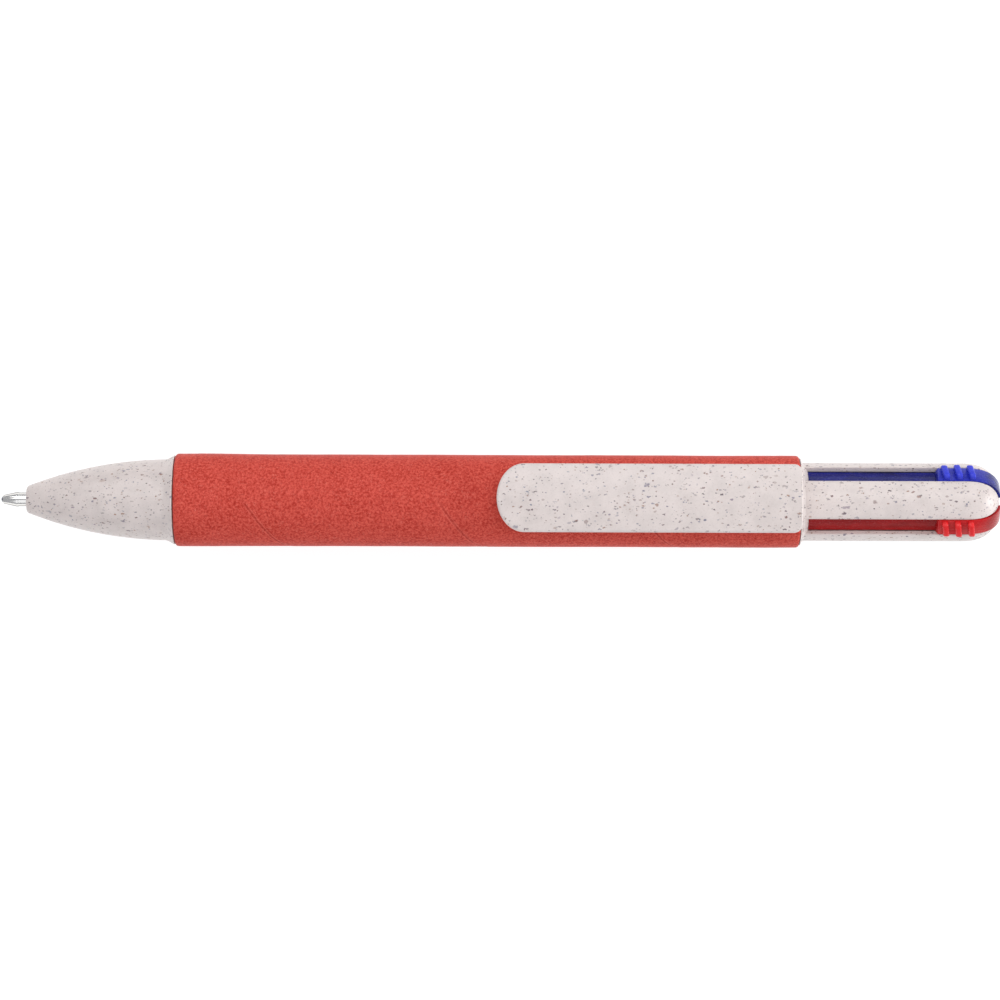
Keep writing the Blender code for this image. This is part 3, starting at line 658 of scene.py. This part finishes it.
def paper_relief(station, angle):
    """The wound paper's height over a true cylinder: the strip's step, waves, pulp and a slight swell."""
    share = seam_share(station, angle)
    step = SEAM_STEP * (1 - share) * min(share / SEAM_RAMP, 1.0)
    around = Vector((math.sin(angle), math.cos(angle), 0)) * 1.2
    slow = noise.noise(around + Vector((0, 0, station / (9 * MM))))
    pulp = noise.noise(around * 9 + Vector((3, 5, station / (0.8 * MM))))
    swell = SWELL * math.exp(-(((station - SWELL_STATION) / SWELL_REACH) ** 2))
    return step - SEAM_STEP / 2 + SLOW_WAVE * slow + PULP_WAVE * pulp + swell


def foot_window(back, floor):
    """A cutter for the window that the clip's foot passes through."""
    front = FOOT_FRONT - 0.3 * MM
    outline = [(front, floor), (front, 8 * MM), (back, 8 * MM), (back, floor)]
    return prism(outline, -WINDOW_HALF_WIDTH, WINDOW_HALF_WIDTH, pen).mesh("window")


def make_paper_sleeve(material):
    front, back = node_span("paper_sleeve")
    count = round((back - front - 2 * SLEEVE_EDGE) / SLEEVE_ROW)
    outline = [(front, SLEEVE_RADIUS - SLEEVE_BORE), (front, SLEEVE_EDGE)]
    outline += bezier((front, SLEEVE_EDGE), (front, 0), (front + SLEEVE_EDGE, 0), 6)
    for i in range(1, count):
        outline.append((front + SLEEVE_EDGE + (back - front - 2 * SLEEVE_EDGE) * i / count, 0))
    outline.append((back - SLEEVE_EDGE, 0))
    outline += bezier((back - SLEEVE_EDGE, 0), (back, 0), (back, SLEEVE_EDGE), 6)
    outline.append((back, SLEEVE_RADIUS - SLEEVE_BORE))
    surface = Surface()
    rows = []
    for station, inset in outline:
        row = []
        end = min(station - front, back - station)
        for i in range(SLEEVE_COLUMNS):
            angle = 2 * math.pi * i / SLEEVE_COLUMNS
            share = 1 - inset / (SLEEVE_RADIUS - SLEEVE_BORE)
            radius = SLEEVE_RADIUS - inset + paper_relief(station, angle) * share
            ragged = 0.0
            if end < SLEEVE_EDGE:
                where = Vector((math.sin(angle), math.cos(angle), 0)) * 8 + Vector((0, 0, inset / MM * 2))
                ragged = RAGGED * noise.noise(where) * (1 - end / SLEEVE_EDGE)
            along = station + (ragged if station < (front + back) / 2 else -ragged)
            row.append(pen(min(max(along, front), back), -radius * math.sin(angle), radius * math.cos(angle)))
        rows.append(surface.row(row))
    surface.rows(rows, closed=True)
    surface.strip(rows[-1], rows[0], closed=True)
    sleeve = surface.mesh("paper_sleeve", 60)
    cutter = foot_window(back + 1 * MM, 5 * MM)
    sleeve = combined(sleeve, [cutter], "DIFFERENCE", "paper_sleeve", 60)
    add_piece("paper_sleeve_wound", sleeve, material, "root", "paper_sleeve")


# Clip

CLIP_TOP = 9.4 * MM
CLIP_THICKNESS = 1.6 * MM
CLIP_CROWN = 0.3 * MM
CLIP_EDGE = 0.3 * MM
CLIP_NOSE_LENGTH = 4.0 * MM
CLIP_TAIL_RADIUS = 1.3 * MM
CLIP_STEPS = 56
CLIP_COLUMNS = 13
PAD_FRONT = 75.5 * MM
PAD_BACK = 78.5 * MM
PAD_RADIUS = 6.9 * MM


def clip_half_outline(front, back, half):
    """One side of the clip seen from above, from the middle of its nose to the middle of its tail."""
    tail = CLIP_TAIL_RADIUS
    centre = front + CLIP_NOSE_LENGTH
    points = []
    for i in range(25):
        angle = math.pi / 2 * i / 24
        points.append((centre - CLIP_NOSE_LENGTH * math.cos(angle), half * math.sin(angle)))
    for i in range(1, CLIP_STEPS):
        points.append((centre + (back - tail - centre) * i / CLIP_STEPS, half))
    for i in range(9):
        angle = math.radians(90 - 90 * i / 8)
        points.append((back - tail + tail * math.cos(angle), half - tail + tail * math.sin(angle)))
    return points


def inset_outline(points, distance):
    """The half outline moved inward, each point along its own normal."""
    moved = []
    for i, (x, y) in enumerate(points):
        before = points[max(i - 1, 0)]
        after = points[min(i + 1, len(points) - 1)]
        way = Vector((after[0] - before[0], after[1] - before[1])).normalized()
        if i == 0:
            way = Vector((0, 1))
        moved.append((x + way.y * distance, max(y - way.x * distance, 0.0)))
    return moved


def make_clip(material):
    low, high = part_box("clip")
    front, back = node_span("clip")
    half = (high.y - low.y) / 2
    bottom = CLIP_TOP - CLIP_THICKNESS
    outline = clip_half_outline(front, back, half)

    def crown(y):
        return CLIP_CROWN * (y / half) ** 2

    # Levels of (inset, height, whether crowned), from the top face down
    levels = []
    for i in range(6):
        angle = math.pi / 2 * i / 5
        levels.append((CLIP_EDGE * (1 - math.sin(angle)), CLIP_TOP - CLIP_EDGE * (1 - math.cos(angle)), 1))
    levels.append((0, bottom + 0.2 * MM, 0))
    levels.append((0.2 * MM, bottom, 0))
    surface = Surface()
    sides = []
    for distance, up, crowned in levels:
        ring = []
        moved = inset_outline(outline, distance)
        for sign in (1, -1):
            for x, y in moved if sign > 0 else moved[::-1]:
                if sign < 0 and (x, y) == moved[0]:
                    continue
                ring.append(pen(x, sign * y, up - crowned * crown(y)))
        sides.append(surface.row(ring))
    surface.rows(sides, closed=True)
    for distance, up, crowned in (levels[0], levels[-1]):
        moved = inset_outline(outline, distance)
        rows = []
        for x, y in moved:
            row = []
            for k in range(CLIP_COLUMNS):
                side = y * (1 - 2 * k / (CLIP_COLUMNS - 1))
                row.append(pen(x, side, up - crowned * crown(side)))
            rows.append(surface.row(row))
        surface.rows(rows)
    plate = surface.mesh("clip_plate")

    def block(first, last, half_width, floor, name):
        outline = softened([
            (first, floor, 0.25 * MM),
            (first, bottom + 0.3 * MM, 0),
            (last, bottom + 0.3 * MM, 0),
            (last, floor, 0.25 * MM),
        ])
        return bevelled(prism(outline, -half_width, half_width, pen).mesh(name), 0.12 * MM)

    extras = [
        block(PAD_FRONT, PAD_BACK, 2.5 * MM, 6.0 * MM, "pad"),
        block(FOOT_FRONT, back - 0.15 * MM, 4.2 * MM, 6.0 * MM, "root"),
    ]
    clip = combined(plate, extras, "UNION", "clip")
    barrel = [(60 * MM, PAD_RADIUS), (125 * MM, PAD_RADIUS)]
    cutter = turned_surface(barrel, 160, closed=False).mesh("barrel")
    clip = combined(clip, [cutter], "DIFFERENCE", "clip")
    foot = block(FOOT_FRONT + 0.1 * MM, FOOT_BACK, 2.2 * MM, 5.0 * MM, "foot")
    clip = combined(clip, [foot], "UNION", "clip", 30)
    piece = add_piece("pocket_clip", clip, material, None, "clip")
    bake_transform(piece)


# Rear body

REAR_FRONT = 117.4 * MM
REAR_RADIUS = 5.73 * MM
REAR_BORE = 4.9 * MM
REAR_RIM_RADIUS = 6.4 * MM
RING_BORE = REAR_BORE - 0.04 * MM
DOME_FRONT = 141.0 * MM
DOME_LENGTH = 5.75 * MM
DOME_BORE_LENGTH = 4.9 * MM
DOME_POWER = 2.65
SLOT_HALF_WIDTH = 1.45 * MM
SLOT_FRONT = 118.5 * MM
SLOT_SLANT = 0.6 * MM
SLOT_END_RADIUS = 1.9 * MM
SLOT_ROUND = 0.16 * MM
PANEL_COLUMNS = 21
PANEL_STEPS = 30
DOME_STEPS = 32
PANEL_END_BORE = 2.1 * MM
PANEL_END_RADIUS = 2.25 * MM
LAP_RADIUS = 5.35 * MM
LINER_RADIUS = 5.75 * MM
LINER_FRONT = 108.0 * MM


def dome_share(share):
    """The blunt dome's radius at a share of its length, or its length at a share of its radius."""
    return max(1 - min(max(share, 0.0), 1.0) ** DOME_POWER, 0.0) ** (1 / DOME_POWER)


def dome_radius(station, length, radius):
    return radius * dome_share((station - DOME_FRONT) / length)


def panel_section(outer, inner):
    """One quarter of the slotted wall: outer face, rounded edge and wall on both sides, and inner face."""

    def edge_angle(radius, half_width):
        return math.asin(min(half_width / radius, 1.0))

    spread = math.pi / 4 - edge_angle(outer, SLOT_HALF_WIDTH)
    round_size = min(SLOT_ROUND, 0.45 * outer * spread, 0.45 * (outer - inner))
    reach = math.pi / 4 - edge_angle(outer, SLOT_HALF_WIDTH + round_size)
    points = []
    for i in range(PANEL_COLUMNS):
        angle = reach * (2 * i / (PANEL_COLUMNS - 1) - 1)
        points.append((outer * math.sin(angle), outer * math.cos(angle)))
    corner = Matrix.Rotation(math.radians(-45), 2)
    edge_rise = math.sqrt(outer * outer - (SLOT_HALF_WIDTH + round_size) ** 2)
    rounding = []
    for i in range(1, 5):
        angle = math.pi / 2 * i / 4
        side = SLOT_HALF_WIDTH + round_size * (1 - math.sin(angle))
        rounding.append((side, edge_rise - round_size * (1 - math.cos(angle))))
    foot = math.sqrt(inner * inner - SLOT_HALF_WIDTH ** 2)
    rounding.append((SLOT_HALF_WIDTH, foot))
    right = [tuple(corner @ Vector((-side, rise))) for side, rise in rounding]
    inner_reach = math.pi / 4 - edge_angle(inner, SLOT_HALF_WIDTH)
    under = []
    for i in range(1, PANEL_COLUMNS - 1):
        angle = inner_reach * (1 - 2 * i / (PANEL_COLUMNS - 1))
        under.append((inner * math.sin(angle), inner * math.cos(angle)))
    left = [(-side, up) for side, up in reversed(right)]
    return points + right + under + left


def rear_ring(lap_front):
    """The flared ring in front of the slots and the liner behind it, which runs forward into the barrel."""
    slant_front = SLOT_FRONT - SLOT_SLANT
    profile = [(SLOT_FRONT, RING_BORE), (slant_front + 0.05 * MM, REAR_RADIUS + 0.03 * MM)]
    knee = (REAR_FRONT + 0.16 * MM, REAR_RIM_RADIUS - 0.08 * MM)
    profile += bezier(profile[-1], (REAR_FRONT + 0.3 * MM, REAR_RADIUS + 0.1 * MM), knee, 7)
    profile += bezier(knee, (REAR_FRONT + 0.1 * MM, REAR_RIM_RADIUS), (REAR_FRONT, REAR_RIM_RADIUS), 3)
    profile += [
        (REAR_FRONT, LINER_RADIUS),
        (LINER_FRONT, LINER_RADIUS),
        (LINER_FRONT, LAP_RADIUS),
        (lap_front, LAP_RADIUS),
        (lap_front, RING_BORE),
    ]
    return turned_surface(profile, 160).mesh("ring")


def rear_panels():
    """The four panels between the slots, from inside the ring to the end of the dome."""
    low = REAR_FRONT + 0.2 * MM
    stations = [low + (DOME_FRONT - low) * i / PANEL_STEPS for i in range(PANEL_STEPS + 1)]
    tip = DOME_LENGTH * dome_share(PANEL_END_RADIUS / REAR_RADIUS)
    for i in range(1, DOME_STEPS + 1):
        stations.append(DOME_FRONT + tip * math.sin(math.pi / 2 * i / DOME_STEPS))
    panels = []
    for quarter in range(4):
        surface = Surface()
        rows = []
        for station in stations:
            outer = dome_radius(station, DOME_LENGTH, REAR_RADIUS)
            inner = max(dome_radius(station, DOME_BORE_LENGTH, REAR_BORE), PANEL_END_BORE)
            section = panel_section(outer, min(inner, outer - 0.1 * MM))
            rows.append(surface.row([pen(station, y, z, 90 * quarter) for y, z in section]))
        surface.rows(rows, closed=True)
        surface.cap(rows[0])
        surface.cap(rows[-1])
        panels.append(surface.mesh("panel"))
    return panels


def rear_cap():
    """The square cap between the slots' ends, which follows the dome."""
    corners = ((1, 1), (-1, 1), (-1, -1), (1, -1))
    outline = softened([(s * SLOT_END_RADIUS, t * SLOT_END_RADIUS, 0.3 * MM) for s, t in corners], 4)
    # Rings of (scale, millimetres off the dome), from the cap's underside to near its middle
    levels = [(0.9, -1.05), (1.0, -0.9), (1.0, -0.12), (0.97, -0.03)]
    levels += [(scale, 0) for scale in (0.92, 0.75, 0.5, 0.25)]
    surface = Surface()
    rings = []
    for scale, drop in levels:
        ring = []
        for y, z in outline:
            radius = math.hypot(y * scale, z * scale)
            top = DOME_FRONT + DOME_LENGTH * dome_share(radius / REAR_RADIUS) + 0.02 * MM
            ring.append(pen(top + drop * MM, y * scale, z * scale, 45))
        rings.append(surface.row(ring))
    surface.rows(rings, closed=True)
    surface.cap(rings[0])
    surface.cap(rings[-1])
    return surface.mesh("cap")


def make_rear_body(material):
    ring = rear_ring(node_span("rear_body")[0])
    body = combined(ring, rear_panels() + [rear_cap()], "UNION", "rear_body", 32)
    cutter = foot_window(FOOT_BACK + 0.2 * MM, 4 * MM)
    body = combined(body, [cutter], "DIFFERENCE", "rear_body", 32)
    add_piece("rear_housing", body, material, "root", "rear_body")


# Sliders

BAR_FRONT = 110.0 * MM
BAR_TOP = 4.6 * MM
BAR_HALF_WIDTH = 1.35 * MM
PLATE_BOTTOM = 3.5 * MM
PLATE_BACK = 145.0 * MM
FLANGE_FRONT = 109.6 * MM
FLANGE_BACK = 141.5 * MM
BUTTON_FRONT = 137.1 * MM
BUTTON_STEP = 0.35 * MM
BUTTON_TOP = 5.5 * MM
BUTTON_END_RADIUS = 2.1 * MM
SLIDER_SHORT = 0.15 * MM
RIBS = ((138.5 * MM, 6.4 * MM), (140.35 * MM, 6.5 * MM), (142.25 * MM, 6.42 * MM))
RIB_THICKNESS = 0.92 * MM
RIB_HALF_WIDTH = 1.27 * MM
RIB_FOOT = 4.4 * MM
RIB_ROUND = 0.55 * MM
RIB_LEAN = 0.14
BOSS_FRONT = 105.0 * MM
BOSS_BACK = 111.0 * MM
BOSS_PEG = 3.0 * MM


def slider_outline():
    """The side view of the plate: bar, step up to the thumb button, and the curve over the dome."""
    last = dome_share(BUTTON_END_RADIUS / BUTTON_TOP)
    reach = (LENGTH - SLIDER_SHORT - DOME_FRONT) / last
    outline = softened([
        (BAR_FRONT, PLATE_BOTTOM, 0),
        (BAR_FRONT, BAR_TOP, 0.3 * MM),
        (BUTTON_FRONT, BAR_TOP, 0.15 * MM),
        (BUTTON_FRONT + BUTTON_STEP, BUTTON_TOP, 0.25 * MM),
        (DOME_FRONT - 0.3 * MM, BUTTON_TOP, 0),
    ], 4, closed=False)
    steps = 28
    for i in range(steps + 1):
        share = last * math.sin(math.pi / 2 * i / steps)
        outline.append((DOME_FRONT + reach * share, BUTTON_TOP * dome_share(share)))
    return outline + [(PLATE_BACK, BUTTON_END_RADIUS), (FLANGE_BACK, PLATE_BOTTOM)]


def slider_parts(place):
    """The plate, and what is moulded with it: guide flange, stop, thumb ribs and the boss for the refill."""
    plate = prism(slider_outline(), -BAR_HALF_WIDTH, BAR_HALF_WIDTH, place).mesh("plate")
    plate = bevelled(plate, 0.14 * MM, 3, 50)
    parts = []
    blocks = (
        # front, back, bottom, top, half width
        (FLANGE_FRONT, FLANGE_BACK, 3.0 * MM, 4.0 * MM, 1.9 * MM),
        (128.0 * MM, 130.0 * MM, 2.4 * MM, 3.2 * MM, 0.6 * MM),
    )
    for low, high, bottom, top, half in blocks:
        outline = [(low, bottom), (low, top), (high, top), (high, bottom)]
        parts.append(bevelled(prism(outline, -half, half, place).mesh("flange"), 0.1 * MM, 2))

    def leaning(station, side, up):
        return place(station - RIB_LEAN * side, side, up)

    for station, top in RIBS:
        section = softened([
            (-RIB_HALF_WIDTH, RIB_FOOT, 0),
            (-RIB_HALF_WIDTH, top, RIB_ROUND),
            (RIB_HALF_WIDTH, top, RIB_ROUND),
            (RIB_HALF_WIDTH, RIB_FOOT, 0),
        ], 6)
        low, high = station - RIB_THICKNESS / 2, station + RIB_THICKNESS / 2
        rib = prism(section, low, high, leaning, across=False).mesh("rib")
        parts.append(bevelled(rib, 0.26 * MM, 4, 60))
    boss = softened([
        (BOSS_FRONT - BOSS_PEG, 0.05 * MM, 0),
        (BOSS_FRONT - BOSS_PEG, 0.75 * MM, 0.15 * MM),
        (BOSS_FRONT, 0.75 * MM, 0),
        (BOSS_FRONT, 1.5 * MM, 0.15 * MM),
        (BOSS_BACK, 1.5 * MM, 0.2 * MM),
        (BOSS_BACK, 0.05 * MM, 0),
    ], 3, closed=False)

    def seat(station, side, up):
        return place(station, side, up + REFILL_OFFSET)

    parts.append(turned_surface(boss, 32, closed=False, place=seat).mesh("boss"))
    return plate, parts


def make_slider(colour, turn, material):
    shift = -TRAVEL if colour == LATCHED else 0.0

    def place(station, side, up):
        return pen(station + shift, side, up, turn)

    plate, parts = slider_parts(place)
    mesh = combined(plate, parts, "UNION", "slider_" + colour, 34)
    node = "slider_" + colour
    add_piece(node + "_moulded", mesh, material, node, node)


# Refills and springs

BALL_RADIUS = 0.5 * MM
TUBE_RADIUS = 1.15 * MM
TUBE_BORE = 0.85 * MM
INK_RADIUS = 0.78 * MM
INK_END = 0.3 * MM
REFILL_STEPS = 60
WIRE_RADIUS = 0.17 * MM
COIL_RADIUS = 1.45 * MM
COIL_TURNS = 12
STEPS_PER_TURN = 28
WIRE_SIDES = 10


def bend_share(station, shift):
    """How far a refill has bent from its slider's line towards the middle of the nose, from 0 to 1."""
    share = min(max((BEND_BACK + shift - station) / (BEND_BACK - BEND_FRONT), 0.0), 1.0)
    return share * share * (3 - 2 * share)


def refill_place(colour, turn):
    shift = -TRAVEL if colour == LATCHED else 0.0

    def place(station, side, up):
        inward = REFILL_OFFSET * bend_share(station, shift) if colour == LATCHED else 0.0
        return pen(station, side, up + REFILL_OFFSET - inward, turn)

    return place


def tip_profile(start):
    """The metal point's section: (station, radius, rounding) in millimetres from its front."""
    outer = [
        (0.30, 0.50, 0.0),
        (0.34, 0.62, 0.05),
        (2.28, 1.05, 0.12),
        (2.52, 1.05, 0.06),
        (2.62, 1.0, 0.03),
        (9.0, 1.0, 0.05),
        (9.45, 1.12, 0.12),
        (11.5, 1.12, 0.08),
        (11.5, 0.78, 0.03),
        (15.0, 0.78, 0.1),
    ]
    inner = [(15.0, 0.3, 0.05), (1.2, 0.3, 0.1), (0.95, 0.56, 0.05), (0.6, 0.56, 0.05)]
    corners = [(start + x * MM, r * MM, f * MM) for x, r, f in outer + inner]
    return softened(corners, 3)


def node_stations(node):
    """Evenly spaced stations along a CAD node of a refill."""
    low, high = node_span(node)
    return [low + (high - low) * i / REFILL_STEPS for i in range(REFILL_STEPS + 1)]


def ball_profile(start):
    """The writing ball, from near one pole to near the other."""
    rings = 24
    profile = []
    for i in range(rings + 1):
        angle = math.pi * (0.02 + 0.96 * i / rings)
        profile.append((start + BALL_RADIUS * (1 - math.cos(angle)), BALL_RADIUS * math.sin(angle)))
    return profile


def make_refill(colour, turn, materials):
    latched = colour == LATCHED
    start = 0.0 if latched else TRAVEL
    place = refill_place(colour, turn)
    slider, point = "slider_" + colour, "refill_" + colour
    mesh = turned_surface(tip_profile(start), 72, place=place).mesh("tip", 28)
    node = "refill_tip_" + colour
    add_piece("metal_point_" + colour, mesh, materials["nickel_silver"], point, node)
    mesh = turned_surface(ball_profile(start), 48, closed=False, place=place).mesh("ball")
    node = "refill_ball_" + colour
    add_piece("writing_ball_" + colour, mesh, materials["carbide"], point, node)
    node = "refill_tube_" + colour
    stations = node_stations(node)
    profile = [(x, TUBE_RADIUS) for x in stations] + [(x, TUBE_BORE) for x in reversed(stations)]
    mesh = turned_surface(profile, 32, place=place).mesh("tube")
    tube = add_piece("ink_tube_" + colour, mesh, materials["refill_tube"], None, node)
    node = "refill_ink_" + colour
    stations = node_stations(node)
    profile = [(stations[0], INK_END)] + [(x, INK_RADIUS) for x in stations] + [(stations[-1], INK_END)]
    mesh = turned_surface(profile, 24, closed=False, place=place).mesh("ink")
    fill = add_piece("ink_" + colour, mesh, materials[colour + "_ink"], None, node)
    for piece in (tube, fill):
        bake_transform(piece)


def make_spring(colour, turn, material):
    """A wound wire with a closed turn at each end, between the seat and the slider's boss."""
    shift = -TRAVEL if colour == LATCHED else 0.0
    low = node_span("spring_seat")[1] + WIRE_RADIUS + 0.1 * MM
    high = BOSS_FRONT + shift - WIRE_RADIUS - 0.1 * MM
    closed_pitch = 2.3 * WIRE_RADIUS
    open_pitch = (high - low - 2 * closed_pitch) / (COIL_TURNS - 2)
    surface = Surface()
    rows = []
    for i in range(COIL_TURNS * STEPS_PER_TURN + 1):
        part = i / STEPS_PER_TURN
        first, last = min(part, 1), max(part - COIL_TURNS + 1, 0)
        station = low + closed_pitch * (first + last) + open_pitch * (part - first - last)
        angle = 2 * math.pi * part
        ring = []
        for k in range(WIRE_SIDES):
            bend = 2 * math.pi * k / WIRE_SIDES
            radius = COIL_RADIUS + WIRE_RADIUS * math.cos(bend)
            along = station + WIRE_RADIUS * math.sin(bend)
            ring.append(pen(along, radius * math.cos(angle), radius * math.sin(angle) + REFILL_OFFSET, turn))
        rows.append(surface.row(ring))
    surface.rows(rows, closed=True)
    surface.cap(rows[0])
    surface.cap(rows[-1])
    mesh = surface.mesh("spring")
    node = "return_spring_" + colour
    piece = add_piece("coil_spring_" + colour, mesh, material, None, node)
    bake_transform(piece)


# Stage, light and camera

VIEW_DISTANCE = 0.55
VIEW_TILT = 3.2
VIEW_ROLL = 0.185
VIEW_WIDTH = 147.2 * MM
VIEW_STATION = 73.4 * MM
VIEW_SIDE = 0.125 * MM
SENSOR = 36.0
FLOOR_SIZE = 20
FLOOR_DROP = 0.1 * MM


def make_camera():
    """Looks almost straight down on the clip, with the writing point to the left."""
    tilt = math.radians(VIEW_TILT)
    back = Vector((0, -math.sin(tilt), math.cos(tilt)))
    target = pen(VIEW_STATION, VIEW_SIDE, 0)
    data = bpy.data.cameras.new("camera")
    data.sensor_width = SENSOR
    data.lens = SENSOR * VIEW_DISTANCE / VIEW_WIDTH
    data.clip_start, data.clip_end = 0.01, 10
    camera = bpy.data.objects.new("camera", data)
    right = Vector((1, 0, 0))
    up = back.cross(right)
    turn = Matrix((right, up, back)).transposed()
    roll = Matrix.Rotation(math.radians(VIEW_ROLL), 3, "Z")
    camera.matrix_world = Matrix.Translation(target + back * VIEW_DISTANCE) @ (turn @ roll).to_4x4()
    bpy.context.scene.collection.objects.link(camera)
    bpy.context.scene.camera = camera


def add_light(name, place, size, power, colour=(1, 1, 1)):
    """A soft rectangular light, aimed at the middle of the pen."""
    data = bpy.data.lights.new(name, "AREA")
    data.shape = "RECTANGLE"
    data.size, data.size_y = size
    data.energy = power
    data.color = colour
    light = bpy.data.objects.new(name, data)
    light.location = place
    light.rotation_euler = (Vector((0, 0, AXIS_Z)) - Vector(place)).to_track_quat("-Z", "Y").to_euler()
    bpy.context.scene.collection.objects.link(light)


def make_stage():
    """A plain white floor just under the pen, a pale sky and four soft lights."""
    bpy.ops.mesh.primitive_plane_add(size=FLOOR_SIZE, location=(0, 0, -FLOOR_DROP))
    floor = bpy.context.object
    floor.name = "floor"
    material = bpy.data.materials.new("floor_white")
    material.use_nodes = True
    shader = material.node_tree.nodes["Principled BSDF"]
    shader.inputs["Base Color"].default_value = (0.25, 0.25, 0.25, 1)
    shader.inputs["Roughness"].default_value = 0.9
    shader.inputs["Emission Color"].default_value = (1, 1, 1, 1)
    shader.inputs["Emission Strength"].default_value = 0.88
    floor.data.materials.append(material)
    world = bpy.data.worlds.new("studio")
    world.use_nodes = True
    background = world.node_tree.nodes["Background"]
    background.inputs["Color"].default_value = (0.93, 0.95, 1.0, 1)
    background.inputs["Strength"].default_value = 0.42
    bpy.context.scene.world = world
    bpy.context.scene.view_settings.view_transform = "Standard"
    add_light("top", (0.0, 0.17, 0.58), (0.9, 0.16), 1.33, (1.0, 0.99, 0.98))
    add_light("strip", (0.0, 0.45, 0.42), (0.9, 0.06), 1.0)
    add_light("fill", (0.0, -0.4, 0.5), (0.9, 0.6), 1.05, (0.97, 0.98, 1.0))
    add_light("end", (0.45, 0.0, 0.1), (0.15, 0.3), 1.0)


def dress_hidden_nodes(materials):
    """The four plain inner parts keep their CAD meshes."""
    for node in ("front_insert", "inner_barrel", "spring_seat", "guide_core"):
        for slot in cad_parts[node].material_slots:
            slot.material = materials["liner_plastic"]


def main():
    make_camera()
    make_stage()
    materials = make_materials()
    dress_hidden_nodes(materials)
    make_nose_cone(materials["straw_nose"])
    make_paper_sleeve(materials["red_paper"])
    make_clip(materials["straw_plastic"])
    make_rear_body(materials["straw_plastic"])
    for colour, turn in COLOURS.items():
        make_slider(colour, turn, materials[colour + "_plastic"])
        make_refill(colour, turn, materials)
        make_spring(colour, turn, materials["spring_steel"])


main()
